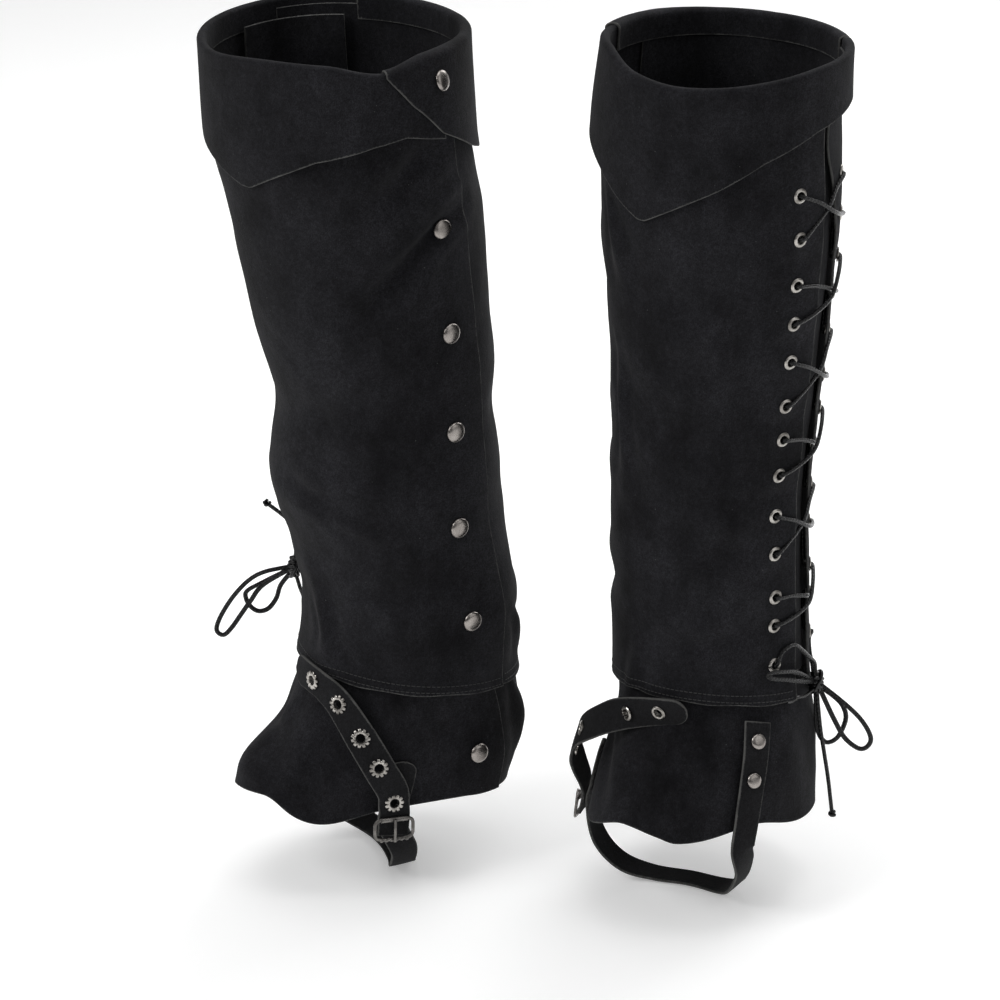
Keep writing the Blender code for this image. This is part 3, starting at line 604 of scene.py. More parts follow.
def hole_walls(quads, rim, count):
    """Faces that join both grids round every hole cut in them."""
    edges = np.concatenate([quads[:, [i, (i + 1) % 4]] for i in range(4)])
    keys = np.sort(edges, axis=1)
    _, back, uses = np.unique(keys, axis=0, return_inverse=True, return_counts=True)
    outside = set(map(tuple, np.sort(np.stack([rim, np.roll(rim, -1)], axis=-1), axis=1).tolist()))
    found = [
        (b, a, a + count, b + count)
        for (a, b), key, use in zip(edges.tolist(), keys.tolist(), uses[back.reshape(-1)])
        if use == 1 and tuple(key) not in outside
    ]
    return np.array(found, int).reshape(-1, 4)


def turn_outward(mesh):
    """Make the faces of a closed mesh point out."""
    shape = bmesh.new()
    shape.from_mesh(mesh)
    bmesh.ops.recalc_face_normals(shape, faces=shape.faces)
    shape.to_mesh(mesh)
    shape.free()


def declare_cloth(grid):
    """Work out a panel's size and area from the lengths of its own rows and columns, and keep none of it."""
    across = np.linalg.norm(np.diff(grid, axis=1), axis=-1).sum(axis=1).max() * MM
    along = np.linalg.norm(np.diff(grid, axis=0), axis=-1).sum(axis=0).max() * MM
    one, two = np.diff(grid, axis=1)[:-1], np.diff(grid, axis=0)[:, :-1]
    area = float(np.linalg.norm(np.cross(one, two), axis=-1).sum()) * MM * MM
    area = min(across * along, max(0.31 * across * along, area))


def sew(name, side, faces, cut=ALL_SIDES, holes=()):
    """One panel of suede, as the piece that stands for its solid."""
    made = shell(f"{name}_cloth_{side}", *faces, cut, holes)
    finish_piece(made, ("brushed_suede", "raw_edge"), [f"{name}_{side}"])
    declare_cloth(faces[0])


def steps(start, end, gap):
    """Even places from start to end."""
    return np.linspace(start, end, max(2, int(round(abs(end - start) / gap))) + 1)


def panel_grid(cover, start, end, low, high, step, out, relief, lean=None):
    """Outer and inner faces of a panel between edges that change with the turn."""
    turns = steps(start, end, math.degrees(step / MEAN_RADIUS))
    lows, highs = low(turns), high(turns)
    shares = steps(0, 1, step / float(np.mean(highs - lows)))[:, None]
    heights = lows + (highs - lows) * shares
    grid = np.broadcast_to(turns, heights.shape)
    if lean:
        grid = grid + lean(heights) * np.linspace(1, 0, len(turns)) ** 3
    pressed = relief(grid, heights)
    wall = settings().cloth_wall / MM
    return (
        cover.point(grid, heights, out + wall - pressed),
        cover.point(grid, heights, out - pressed),
    )


def settings():
    """The shared sizes of this scene."""
    return bpy.context.scene.boot_covers


def quick_step():
    """Spacing of the cloth's points in mm."""
    return settings().grid_step / MM * 1.0


def back_lean(height):
    """How far the back panel's laced edge stands from its lower place, in degrees."""
    return read_table(BACK_EDGE, height)[..., 0] - LACE_EDGE_BACK


def eyelet_places(cover):
    """Middles of the lace eyelets on the two edges of the gap, on the cloth's outer face."""
    heights = np.array(EYELET_HEIGHTS, float)
    wall = settings().cloth_wall / MM
    relief = creased(cover, CREASES)
    columns = (
        (np.full_like(heights, EYELETS_FRONT), wall),
        (read_table(BACK_EDGE, heights)[..., 1], wall + BACK_TUCK),
    )
    return [(turns, heights, out - relief(turns, heights)) for turns, out in columns]


def creased(cover, tables):
    """How deep a panel's creases press it in."""
    press = settings().crease_depth
    return lambda turn, height: press * cover.crease_depth(turn, height, tables[cover.name])


def hem_height(cover):
    """Height of the foot piece's free edge with a slight waver."""
    return lambda turn: read_table(HEM[cover.name], wrapped(turn))[..., 0] + 0.5 * np.sin(turn / 7.0)


def rim_height(cover):
    """Height of the folded rim."""
    return lambda turn: read_table(RIM[cover.name], wrapped(turn))[..., 0]


class COVERS_OT_shafts(bpy.types.Operator):
    """Make the front and back panels of both shafts"""

    bl_idname = "covers.shafts"
    bl_label = "Shaft Panels"

    def execute(self, context):
        for cover in COVERS:
            side = cover.name
            fronts, backs = eyelet_places(cover)
            rim = rim_height(cover)
            for name, start, end, out, eyelets, rest, lean in (
                ("shaft_front", PLACKET_EDGE, LACE_EDGE_FRONT, 0.0, fronts, "foot_front", None),
                ("shaft_back", LACE_EDGE_BACK - 360, PLACKET_TUCK, BACK_TUCK, backs, "foot_back", back_lean),
            ):
                faces = panel_grid(
                    cover, start, end, lambda t: seam_height(t) + 0.4 * np.sin(t / 5.0),
                    lambda t: rim(t) - 4.0, quick_step(), out, creased(cover, CREASES), lean,
                )
                holes = cover.point(*eyelets)
                sew(name, side, faces, CUT_SIDES, holes)
        return {"FINISHED"}


class COVERS_OT_tongues(bpy.types.Operator):
    """Make the strips that fill the laced gaps from inside"""

    bl_idname = "covers.tongues"
    bl_label = "Tongues"

    def execute(self, context):
        for cover in COVERS:
            faces = panel_grid(
                cover, LACE_EDGE_FRONT - 15, LACE_EDGE_BACK + 15, lambda t: seam_height(t) + 14,
                lambda t: np.full_like(t, TONGUE_TOP), quick_step(), TONGUE_DEPTH,
                lambda t, z: 0.7 * np.sin(z / 17.0 + 0.05 * t) * np.sin(z / 41.0),
            )
            sew("lace_tongue", cover.name, faces)
        return {"FINISHED"}


class COVERS_OT_foot_pieces(bpy.types.Operator):
    """Make the flared front and the heel of both foot pieces"""

    bl_idname = "covers.foot_pieces"
    bl_label = "Foot Pieces"

    def execute(self, context):
        for cover in COVERS:
            for name, start, end, out in FOOT_PANELS:
                faces = panel_grid(
                    cover, start, end, hem_height(cover), lambda t: seam_height(t) + FOOT_LAP,
                    quick_step(), out, creased(cover, FOOT_CREASES),
                )
                sew(name, cover.name, faces, CUT_SIDES)
        return {"FINISHED"}


def collar_grid(cover, edge, first, end, base, tuck):
    """Outer and inner faces of a collar piece: up to the rim, round it and down inside."""
    step = quick_step()
    wall = settings().cloth_wall / MM
    rim = rim_height(cover)
    columns = steps(0, 1, step / (abs(end - first(0.5)) * math.radians(COLLAR_RADIUS)))
    shares = steps(0, 1, step / COLLAR_FALL)
    rows = []
    for share in shares:
        start = first(share)
        turns = start + (end - start) * columns
        lows = straight_table(edge, np.clip(turns, edge[0][0], edge[-1][0]))
        heights = lows + (rim(turns) - lows) * share
        lift = base(turns) + 0.5 * np.sin(turns / 13.0 + share) * (1 - share)
        lift = lift + FLAP_LIFT * (1 - share) ** 1.5 * np.exp(-(((turns + 72) / 17) ** 2))
        rows.append((turns, heights, lift))
    turns = rows[-1][0]
    tops, bases = rim(turns), base(turns)
    radius = (bases + wall - tuck) / 2
    for angle in np.linspace(20, 180, 9):
        turned = math.radians(angle)
        middle = (bases + wall + tuck) / 2
        out = middle + radius * math.cos(turned) - wall
        rows.append((turns, tops + 0.75 * radius * math.sin(turned), out))
    for drop in COLLAR_DROPS:
        rows.append((turns, tops - drop, np.full_like(turns, tuck - wall)))
    turns, heights, outs = (np.array(column) for column in zip(*rows))
    folded = len(shares)
    # The flaps borrow the foot piece's creases, squeezed in height, and keep one relief past the rim.
    relief = 0.8 * cover.crease_depth(turns, heights * 0.6, FOOT_CREASES[cover.name])
    relief[folded:] = relief[folded - 1]
    face = cover.point(turns, heights, outs + wall - relief)
    normals = grid_normals(face, cover.point(turns, heights * 0 + 480, -60))
    return face, face - normals * wall


def grid_normals(grid, inside):
    """Unit normals of a grid of points, taken from its own rows and columns."""
    around = np.gradient(grid, axis=1)
    along = np.gradient(grid, axis=0)
    found = np.cross(around, along)
    found /= np.maximum(1e-9, np.linalg.norm(found, axis=-1, keepdims=True))
    if np.sum(found[:4] * (grid[:4] - inside[:4])) < 0:
        found = -found
    return found


class COVERS_OT_collars(bpy.types.Operator):
    """Make the turned-down collar flaps and their closing tabs"""

    bl_idname = "covers.collars"
    bl_label = "Collars"

    def execute(self, context):
        for cover in COVERS:
            side = cover.name
            for name, edge, first, end, base, tuck in (
                ("collar_front", COLLAR_FRONT_EDGE[side], lambda s: COLLAR_START, COLLAR_SEAM,
                 lambda t: np.full_like(t, 2.9), -1.2),
                ("collar_back", COLLAR_BACK_EDGE, lambda s: float(straight_table(TAB_EDGE, s)),
                 COLLAR_SEAM - 360 + 0.5, back_base, -3.2),
            ):
                faces = collar_grid(cover, edge, first, end, base, tuck)
                sew(name, side, faces)
        return {"FINISHED"}


def back_base(turn):
    """The back flap rises onto the front flap where its tab laps over it."""
    return read_table(((-150, 2.4), (-136, 3.4), (-120, 5.0)), turn)[..., 0]


def smooth_route(stops, gap):
    """Points at an even spacing on a smooth curve through the stops, in mm."""
    stops = np.asarray(stops, float)
    ends = np.concatenate([[2 * stops[0] - stops[1]], stops, [2 * stops[-1] - stops[-2]]])
    dense = []
    for a, b, c, d in zip(ends, ends[1:], ends[2:], ends[3:]):
        s = np.linspace(0, 1, ROUTE_PARTS, endpoint=False)[:, None]
        square, cube = 2 * a - 5 * b + 4 * c - d, 3 * b - a - 3 * c + d
        dense.append(0.5 * (2 * b + (c - a) * s + square * s**2 + cube * s**3))
    dense = np.concatenate(dense + [stops[-1:]])
    lengths = lengths_along(dense)
    wanted = np.linspace(0, lengths[-1], max(3, int(round(lengths[-1] / gap))) + 1)
    return interpolated(wanted, lengths, dense)


def spread(directions, count):
    """As many unit directions as points, turned evenly between the given ones."""
    directions = np.asarray(directions, float)
    at = np.linspace(0, len(directions) - 1, count)
    return unit(interpolated(at, range(len(directions)), directions))


def interpolated(at, places, points):
    """Three-part values read between their places on straight lines."""
    points = np.asarray(points, float)
    return np.stack([np.interp(at, places, points[:, i]) for i in range(3)], axis=-1)


def strap_grids(middles, normals, width, wall, tip):
    """Both faces of a strap along its middles, a little cupped, with a rounded tip at its start."""
    along = np.gradient(middles, axis=0)
    across = unit(np.cross(normals, along))
    spots = np.linspace(-0.5, 0.5, STRAP_COLUMNS)
    lengths = lengths_along(middles)
    near = np.clip(1 - lengths / tip, 0, 1)
    widths = width * np.sqrt(np.clip(1 - near**2.6, 0.02, 1))
    cup = STRAP_CUP * (spots * 2) ** 2
    face = middles[:, None] + across[:, None] * spots[None, :, None] * widths[:, None, None]
    back = face - normals[:, None] * cup[None, :, None]
    return back + normals[:, None] * wall, back


def strap_uneven(face, seed):
    """A slight uneven lift along a strap's free edges, in mm."""
    rows = np.arange(face.shape[0])[:, None]
    spots = np.linspace(-1, 1, face.shape[1])[None, :]
    return 0.22 * np.sin(rows / 9.0 + seed) * spots**3


class COVERS_OT_instep_straps(bpy.types.Operator):
    """Make the instep straps and their eyelets"""

    bl_idname = "covers.instep_straps"
    bl_label = "Instep Straps"

    def execute(self, context):
        wall = settings().strap_wall / MM
        width = settings().instep_width / MM
        for cover in COVERS:
            side = cover.name
            stops = np.array(INSTEP_ROUTE[side], float)
            route = cover.point(stops[:, 0], stops[:, 1], stops[:, 2])
            facing = cover.normal(stops[:, 0], stops[:, 1])
            facing[:, 2] -= np.array(INSTEP_TILT[side])
            middles = smooth_route(route, 1.0)
            normals = spread(facing, len(middles))
            face, back = strap_grids(middles, normals, width, wall, INSTEP_TIP)
            lift = strap_uneven(face, 1.0 + cover.hand)[..., None] * normals[:, None]
            picks = [int(share * (len(middles) - 1)) for share in STRAP_EYELETS[side]]
            holes = [middles[k] + normals[k] * wall for k in picks]
            made = shell(
                f"instep_strap_body_{side}", face + lift, back + lift, holes=holes, reach=STRAP_HOLE_REACH
            )
            finish_piece(made, ("strap_suede", "strap_edge"), [f"instep_strap_{side}"])
            declare_cloth(face)
            along = np.gradient(middles, axis=0)
            seats = [(holes[i], normals[k], along[k]) for i, k in enumerate(picks)]
            petals = PETALS if side == "right" else 0
            width_over, hole = DAISY_SIZE if petals else OVAL_SIZE
            rings = [ring_eyelet(seat, way, run, width_over, hole, petals, wall) for seat, way, run in seats]
            made = merged(f"strap_eyelets_{side}", rings)
            finish_piece(made, ("antique_silver",))
        return {"FINISHED"}


class COVERS_OT_sole_straps(bpy.types.Operator):
    """Make the sole straps from the outer rivets to their inner tips"""

    bl_idname = "covers.sole_straps"
    bl_label = "Sole Straps"

    def execute(self, context):
        wall = settings().strap_wall / MM
        width = settings().sole_width / MM
        for cover in COVERS:
            side = cover.name
            heights = np.array(SOLE_OUTER_HEIGHTS, float)
            outs = np.full_like(heights, SOLE_OUT[side])
            stops = list(cover.point(SOLE_TURN + 0 * heights, heights, outs))
            facing = list(cover.normal(SOLE_TURN + 0 * heights, heights))
            for outer, front, height, sideways, down in SOLE_UNDER:
                stops.append(cover.place + cover.outer * outer + cover.toe * front + UP * height)
                facing.append(cover.outer * sideways + UP * down)
            for turn, height, out in SOLE_INNER:
                stops.append(cover.point(turn, height, out))
                facing.append(cover.normal(turn, height))
            middles = smooth_route(stops, 1.2)
            far = lengths_along(np.array(stops))
            at = np.linspace(0, 1, len(middles))
            normals = unit(interpolated(at, far / far[-1], unit(np.array(facing))))
            face, back = strap_grids(middles[::-1], normals[::-1], width, wall, SOLE_TIP)
            made = shell(f"sole_strap_body_{side}", face, back)
            finish_piece(made, ("strap_suede", "strap_edge"), [f"sole_strap_{side}"])
            declare_cloth(face)
        return {"FINISHED"}


def frame_of(normal, along=None):
    """Two directions square to a normal and to each other."""
    normal = np.asarray(normal, float)
    side = np.cross(normal, along) if along is not None else np.cross(normal, UP)
    side /= np.linalg.norm(side)
    return side, np.cross(side, normal)


def tube_faces(rows, sides, closed=False):
    """Faces that join rings of points, one ring after another."""
    faces = []
    for j in range(rows if closed else rows - 1):
        here, there = j * sides, (j + 1) % rows * sides
        for i in range(sides):
            after = (i + 1) % sides
            faces.append((here + i, here + after, there + after, there + i))
    return faces


def lathe(seat, normal, profile, sides, along=None, wobble=None, closed=False):
    """Points and faces of a turned shape; the profile runs (radius, height) from the outside in."""
    side, other = frame_of(normal, along)
    angles = np.linspace(0, 2 * math.pi, sides, endpoint=False)
    ways = np.cos(angles)[:, None] * side + np.sin(angles)[:, None] * other
    points = []
    for radius, height in profile:
        reach = np.full(sides, float(radius))
        if wobble is not None:
            reach = wobble(radius, angles)
        points.append(seat + ways * reach[:, None] + np.asarray(normal) * height)
    return np.concatenate(points), tube_faces(len(profile), sides, closed)


def capped(shape, sides):
    """Close a turned shape over its first and last rings."""
    points, faces = shape
    last = len(points) - sides
    return points, [*faces, tuple(range(sides))[::-1], tuple(range(last, last + sides))]


def merged(name, shapes):
    """One piece from several sets of points and faces."""
    points, faces, base = [], [], 0
    for own, cells in shapes:
        points.append(own)
        faces += [tuple(base + i for i in cell) for cell in cells]
        base += len(own)
    mesh = bpy.data.meshes.new(name)
    mesh.from_pydata(placed(np.concatenate(points)).tolist(), [], faces)
    turn_outward(mesh)
    return link(name, mesh)


def ring_eyelet(seat, normal, along, width, hole, petals, depth):
    """A pressed eyelet: rolled flange, barrel through the cloth and, with petals, a split flower edge."""
    outer, inner = width / 2, hole / 2
    mid = (outer + inner) / 2
    profile = (
        (outer, 0.05), (outer + 0.05, 0.3), (outer - 0.35, 0.72), (mid + 0.25, 0.95), (mid - 0.2, 0.98),
        (inner + 0.25, 0.8), (inner, 0.4), (inner - 0.1, -depth - 0.6), (inner + 0.15, -depth - 0.7),
        (inner + 0.5, -0.1), (outer - 0.4, 0.02),
    )
    sides = DAISY_SIDES if petals else EYELET_SIDES

    def flower(radius, angles):
        """Petals that are widest at the flange's edge."""
        share = max(0.0, (radius - inner) / (outer - inner))
        return radius - share * 1.7 * (0.5 - 0.5 * np.cos(petals * angles)) ** 4

    return lathe(seat, normal, profile, sides, along, flower if petals else None, True)


class COVERS_OT_lace_eyelets(bpy.types.Operator):
    """Make the rings that the laces pass through"""

    bl_idname = "covers.lace_eyelets"
    bl_label = "Lace Eyelets"

    def execute(self, context):
        width = settings().eyelet_width / MM
        wall = settings().cloth_wall / MM
        for cover in COVERS:
            shapes = []
            for turns, heights, outs in eyelet_places(cover):
                seats = cover.point(turns, heights, outs)
                ways = cover.normal(turns, heights)
                for seat, way in zip(seats, ways):
                    shapes.append(ring_eyelet(seat, way, UP, width, width * 0.54, 0, wall))
            made = merged(f"lace_eyelets_{cover.name}", shapes)
            finish_piece(made, ("antique_silver",))
        return {"FINISHED"}


def cap_shape(seat, normal, radius, height):
    """A pressed cap: rolled lip, shallow dome and a flat back."""
    profile = (
        (radius * 0.9, 0.0), (radius, 0.35), (radius * 0.99, 0.8), (radius * 0.93, height * 0.55),
        (radius * 0.82, height * 0.76), (radius * 0.64, height * 0.9), (radius * 0.4, height * 0.975),
        (radius * 0.12, height),
    )
    return capped(lathe(seat, normal, profile, CAP_SIDES), CAP_SIDES)


class COVERS_OT_snaps(bpy.types.Operator):
    """Make the snap caps of both plackets"""

    bl_idname = "covers.snaps"
    bl_label = "Snap Caps"

    def execute(self, context):
        radius = settings().cap_width / MM / 2
        for cover in COVERS:
            for index, (turn, height, out) in enumerate(SNAPS):
                table = FOOT_CREASES if index == len(SNAPS) - 1 else CREASES
                way = cover.normal(float(turn), float(height))
                if index:
                    place = (np.array([float(turn)]), np.array([float(height)]))
                    pressed = float(creased(cover, table)(*place)[0])
                else:
                    # The tab is bent back, and carries no crease.
                    pressed = 0.0
                    way = unit(way + VIEW_RIGHT * 0.5 + UP * 0.4)
                seat = cover.point(turn, height, out - pressed) + way * 0.25
                node = f"snap_{index + 1}_{cover.name}"
                made = merged(f"{node}_cap", [cap_shape(seat, way, radius, CAP_HEIGHT)])
                finish_piece(made, ("gunmetal",), [node])
        return {"FINISHED"}


class COVERS_OT_rivets(bpy.types.Operator):
    """Make the rivets at the sole straps' outer ends"""

    bl_idname = "covers.rivets"
    bl_label = "Rivets"

    def execute(self, context):
        for cover in COVERS:
            for index, height in enumerate(RIVET_HEIGHTS):
                way = cover.normal(SOLE_TURN, float(height))
                seat = cover.point(SOLE_TURN, height, SOLE_OUT[cover.name])
                seat = seat + way * (settings().strap_wall / MM + 0.1)
                node = f"rivet_{index + 1}_{cover.name}"
                made = merged(f"{node}_cap", [cap_shape(seat, way, RIVET_RADIUS, RIVET_HEIGHT)])
                finish_piece(made, ("gunmetal",), [node])
        return {"FINISHED"}


def sweep(route, width, thick, sides=10, closed=False, facing=None):
    """Points and faces of a round or flattened tube along a route."""
    route = np.asarray(route, float)
    along = np.gradient(route, axis=0)
    if closed:
        along = np.roll(route, -1, axis=0) - np.roll(route, 1, axis=0)
    along = unit(along)
    way = np.cross(along[0], (0.3, 0.2, 1.0)) if facing is None else np.asarray(facing, float)
    ways = []
    for run in along:
        way = unit(way - run * np.dot(way, run))
        ways.append(way)
    ways = np.array(ways)
    others = np.cross(along, ways)
    angles = np.linspace(0, 2 * math.pi, sides, endpoint=False)
    ring = (
        ways[:, None] * (np.cos(angles) * thick / 2)[None, :, None]
        + others[:, None] * (np.sin(angles) * width / 2)[None, :, None]
    )
    shape = (route[:, None] + ring).reshape(-1, 3), tube_faces(len(route), sides, closed)
    return shape if closed else capped(shape, sides)


def cord_mesh(name, route, width, thick):
    """A cord as a mesh tube whose map gives the way round and the way along in metres."""
    points, faces = sweep(route, width, thick, LACE_SIDES)
    mesh = bpy.data.meshes.new(name)
    mesh.from_pydata(placed(points).tolist(), [], faces)
    lengths = lengths_along(route) * MM
    chart = mesh.uv_layers.new(name="cord_map")
    for face in mesh.polygons:
        if len(face.vertices) != 4:
            continue
        columns = [vertex % LACE_SIDES for vertex in face.vertices]
        wraps = max(columns) - min(columns) > 1
        for corner, vertex, column in zip(face.loop_indices, face.vertices, columns):
            share = 1.0 if wraps and column == 0 else column / LACE_SIDES
            chart.data[corner].uv = (share, float(lengths[vertex // LACE_SIDES]))
    turn_outward(mesh)
    return link(name, mesh)


def view_point(start, offset):
    """A point that lies off another along the view's right, towards the view, and up."""
    return start + VIEW_RIGHT * offset[0] + VIEW_NEAR * offset[1] + UP * offset[2]


def knot_seat(knot, offset):
    """Where a cord's end goes into the knot, in the direction of an offset."""
    away = unit(view_point(np.zeros(3), offset))
    reach = 1 / math.sqrt(sum((away[i] / KNOT_SIZE[i]) ** 2 for i in range(3)))
    return knot + away * (reach - KNOT_SINK)


def strand_stops(cover, first_front):
    """Stops of one strand: over the gap at each pair of rows, through the eyelets and along inside."""
    stops = []
    fronts, backs = eyelet_places(cover)
    on_front = first_front
    # The first strand crosses over the other one and hangs a little.
    lift, sag = (2.9, 3.0) if first_front else (0.4, -1.0)
    for row in range(0, LAST_ROW, 2):
        crossing = []
        for step in (0, 1):
            column = fronts if on_front == (step == 0) else backs
            turn, height, out = (float(values[row + step]) for values in column)
            crossing.append((turn, height, out, 1.0 if column is fronts else -1.0))
        (t0, z0, o0, s0), (t1, z1, o1, s1) = crossing
        for turn, height, out in (
            (t0, z0, o0 - 3.4), (t0, z0 - 0.2, o0 - 0.8), (t0 + s0 * 1.2, z0 - 0.6, o0 + 1.9),
            (t0 * 0.74 + t1 * 0.26, z0 * 0.78 + z1 * 0.22 - sag * 0.5, o0 * 0.5 + lift * 0.9),
            (t0 * 0.5 + t1 * 0.5, z0 * 0.5 + z1 * 0.5 - sag, lift + 1.2),
            (t0 * 0.26 + t1 * 0.74, z0 * 0.22 + z1 * 0.78 - sag * 0.5, o1 * 0.5 + lift * 0.9),
            (t1 + s1 * 1.2, z1 + 0.6, o1 + 1.9), (t1, z1 + 0.2, o1 - 0.8), (t1, z1 - 1.0, o1 - 3.4),
        ):
            stops.append(cover.point(turn, height, out))
        on_front = not on_front
    return stops


def tail_stops(cover, strand):
    """Stops from the last crossing out to the knot."""
    turn, height, out = (float(values[LAST_ROW]) for values in eyelet_places(cover)[strand])
    lean, rise = ((0.8, 1.0), (-0.8, 0.0))[strand]
    ways = ((turn, height + 5, out - 3.4), (turn, height, out - 1.0), (turn + lean, height + rise, out + 1.8))
    return [cover.point(*map(float, stop)) for stop in ways + LACE_TAILS[cover.name][strand]]


class COVERS_OT_laces(bpy.types.Operator):
    """Make the crossed laces, their knots, bows and free ends"""

    bl_idname = "covers.laces"
    bl_label = "Laces"

    def execute(self, context):
        width = settings().lace_width / MM
        for cover in COVERS:
            side = cover.name
            knot = view_point(cover.point(*map(float, KNOTS[side])), BOW_SHIFT[side])
            shapes = knot_shapes(knot, width)
            if KNOT_CURLS[side]:
                curl = smooth_route([view_point(knot, offset) for offset in KNOT_CURLS[side]], LACE_GAP)
                shapes.append(sweep(curl, width * 0.9, width * 0.7))
            wraps = merged(f"bow_knot_wraps_{side}", shapes)
            finish_piece(wraps, ("waxed_lace",), [f"bow_knot_{side}"])
            for strand, name in enumerate(("lace_a", "lace_b")):
                stops = strand_stops(cover, strand == 0) + tail_stops(cover, strand)
                stops.append(knot_seat(knot, TAIL_ENDS[side][strand]))
                self.lay_cord(name, side, stops, (width, width), "taut", "object", wraps)
            for name, offsets in BOWS[side].items():
                stops = [view_point(knot, offset) for offset in offsets]
                stops[0] = knot_seat(knot, offsets[0])
                if name.startswith("bow_loop"):
                    stops[-1] = knot_seat(knot, offsets[-1])
                    size = [width * share for share in LOOP_SHAPE]
                    self.lay_cord(name, side, stops, size, "hanging", "object", wraps)
                    continue
                tip = merged(f"{name}_tip_{side}", end_knot(stops[-1], stops[-1] - stops[-2], width))
                finish_piece(tip, ("waxed_lace",))
                self.lay_cord(name, side, stops, (width, width), "hanging", "knot", tip)
        return {"FINISHED"}

    def lay_cord(self, name, side, stops, size, lay, far_end, joined):
        """One length of lace that ends in another piece."""
        route = smooth_route(stops, LACE_GAP)
        made = cord_mesh(f"{name}_cord_{side}", route, *size)
        finish_piece(made, ("waxed_lace",), [f"{name}_{side}"])


def knot_shapes(knot, width):
    """A bow's knot: a lump of lace, turns round its waist and two long turns over it."""
    shapes = []
    at = np.linspace(0, 1, 100)
    angle = at * 2.4 * 2 * math.pi
    rise = (at - 0.5) * 6.4 + 1.3 * np.sin(angle)
    coil = (
        knot + VIEW_RIGHT * (np.cos(angle) * 3.7)[:, None]
        + VIEW_NEAR * (np.sin(angle) * 3.7)[:, None] + UP * rise[:, None]
    )
    shapes.append(sweep(coil, width * 1.1, width * 0.9))
    at = np.linspace(0, 2 * math.pi, 72, endpoint=False)
    for lean, tall, deep in ((0.42, 6.6, 4.6), (-0.35, 5.6, 4.0)):
        over = knot + (VIEW_RIGHT * lean + UP) * (np.sin(at) * tall)[:, None]
        over = over + VIEW_NEAR * (np.cos(at) * deep)[:, None] + VIEW_RIGHT * (np.cos(at) * 0.9)[:, None]
        shapes.append(sweep(over, width, width, closed=True))
    profile = (
        (0.5, -7.2), (1.9, -6.8), (2.9, -5.2), (3.5, -2.6), (3.7, 0.0), (3.5, 2.6), (2.9, 5.2),
        (1.9, 6.8), (0.5, 7.2),
    )
    shapes.append(capped(lathe(knot, UP, profile, 20, VIEW_RIGHT), 20))
    return shapes


def end_knot(place, along, width):
    """A small overhand knot at a free end."""
    along = unit(along)
    side, other = frame_of(along)
    at = np.linspace(0, 1, 40)
    angle = at * 1.6 * 2 * math.pi
    coil = (
        place + side * (np.cos(angle) * width * 0.55)[:, None]
        + other * (np.sin(angle) * width * 0.55)[:, None] + along * ((at - 0.3) * width * 1.5)[:, None]
    )
    return [sweep(coil, width * 0.9, width * 0.9, 8)]


def rounded_ring(centre, across, along, size, count=72):
    """A closed route round a rectangle with soft corners."""
    angles = np.linspace(0, 2 * math.pi, count, endpoint=False)
    c, s = np.cos(angles), np.sin(angles)
    flat_x = np.sign(c) * np.abs(c) ** 0.45 * size[0] / 2
    flat_y = np.sign(s) * np.abs(s) ** 0.45 * size[1] / 2
    return centre + flat_x[:, None] * across + flat_y[:, None] * along


class COVERS_OT_buckles(bpy.types.Operator):
    """Make the buckle rings, rollers and prongs"""

    bl_idname = "covers.buckles"
    bl_label = "Buckles"

    def execute(self, context):
        for cover in COVERS:
            side = cover.name
            turn, height, out = BUCKLE_PLACE
            normal = cover.normal(turn, height)
            down = cover.outer * 0.25 - UP
            down = unit(down - normal * np.dot(down, normal))
            across = np.cross(normal, down)
            centre = cover.point(turn, height, out)
            ring = rounded_ring(centre, across, down, BUCKLE_SIZE)
            shapes = [sweep(ring, 2.2, 1.9, 12, True, normal)]
            bar = centre - down * 6.2
            roller = bar + across * np.array([-8.2, -4.0, 0.0, 4.0, 8.2])[:, None]
            shapes.append(sweep(roller, 3.3, 3.3, 16))
            for lump in np.linspace(-8, 8, 6):
                bead = centre + down * 6.9 + across * lump + normal * 0.7
                profile = ((1.25, -0.4), (1.2, 0.2), (0.8, 0.7), (0.2, 0.9))
                shapes.append(capped(lathe(bead, normal, profile, 12), 12))
            made = merged(f"buckle_ring_{side}", shapes)
            # The frame and the prong take the buckle metal, whose darker base is painted shade.
            finish_piece(made, ("buckle_metal_painted_shade",), [f"buckle_frame_{side}"])
            lift = normal * 2.3
            prong = [
                centre + down * 7.6 + lift, centre + down * 4 + lift * 1.05, centre + lift * 1.1,
                centre - down * 4 + lift * 1.15, centre - down * 7.2 + lift * 1.05,
            ]
            made = merged(f"buckle_pin_{side}", [sweep(smooth_route(prong, 0.8), 1.9, 1.7, 12)])
            finish_piece(made, ("buckle_metal_painted_shade",), [f"buckle_prong_{side}"])
        return {"FINISHED"}


class COVERS_OT_stitches(bpy.types.Operator):
    """Sew the ankle seams"""

    bl_idname = "covers.stitches"
    bl_label = "Stitches"

    def execute(self, context):
        wall = settings().cloth_wall / MM
        for cover in COVERS:
            shapes = []
            for rise in STITCH_ROWS:
                for start, end, out in STITCH_RUNS:
                    turns = np.arange(start, end, STITCH_STEP)
                    shapes += self.row(cover, turns, seam_height(turns) + rise, out + wall)
            made = merged(f"seam_stitches_{cover.name}", shapes)
            finish_piece(made, ("thread",))
        return {"FINISHED"}

    def row(self, cover, turns, heights, out):
        """Short stitches end to end on a panel's face."""
        relief = creased(cover, CREASES)
        bow = np.array([-0.12, 0.12, 0.12, -0.12])
        found = []
        starts, ends = turns[:-1], turns[:-1] + np.diff(turns) * STITCH_SHARE
        for start, end, low, high in zip(starts, ends, heights, heights[1:]):
            at = np.linspace(start, end, len(bow))
            z = np.linspace(low, low + (high - low) * STITCH_SHARE, len(bow))
            route = cover.point(at, z, out - relief(at, z) + bow)
            found.append(sweep(route, *STITCH_SIZE, STITCH_SIDES))
        return found


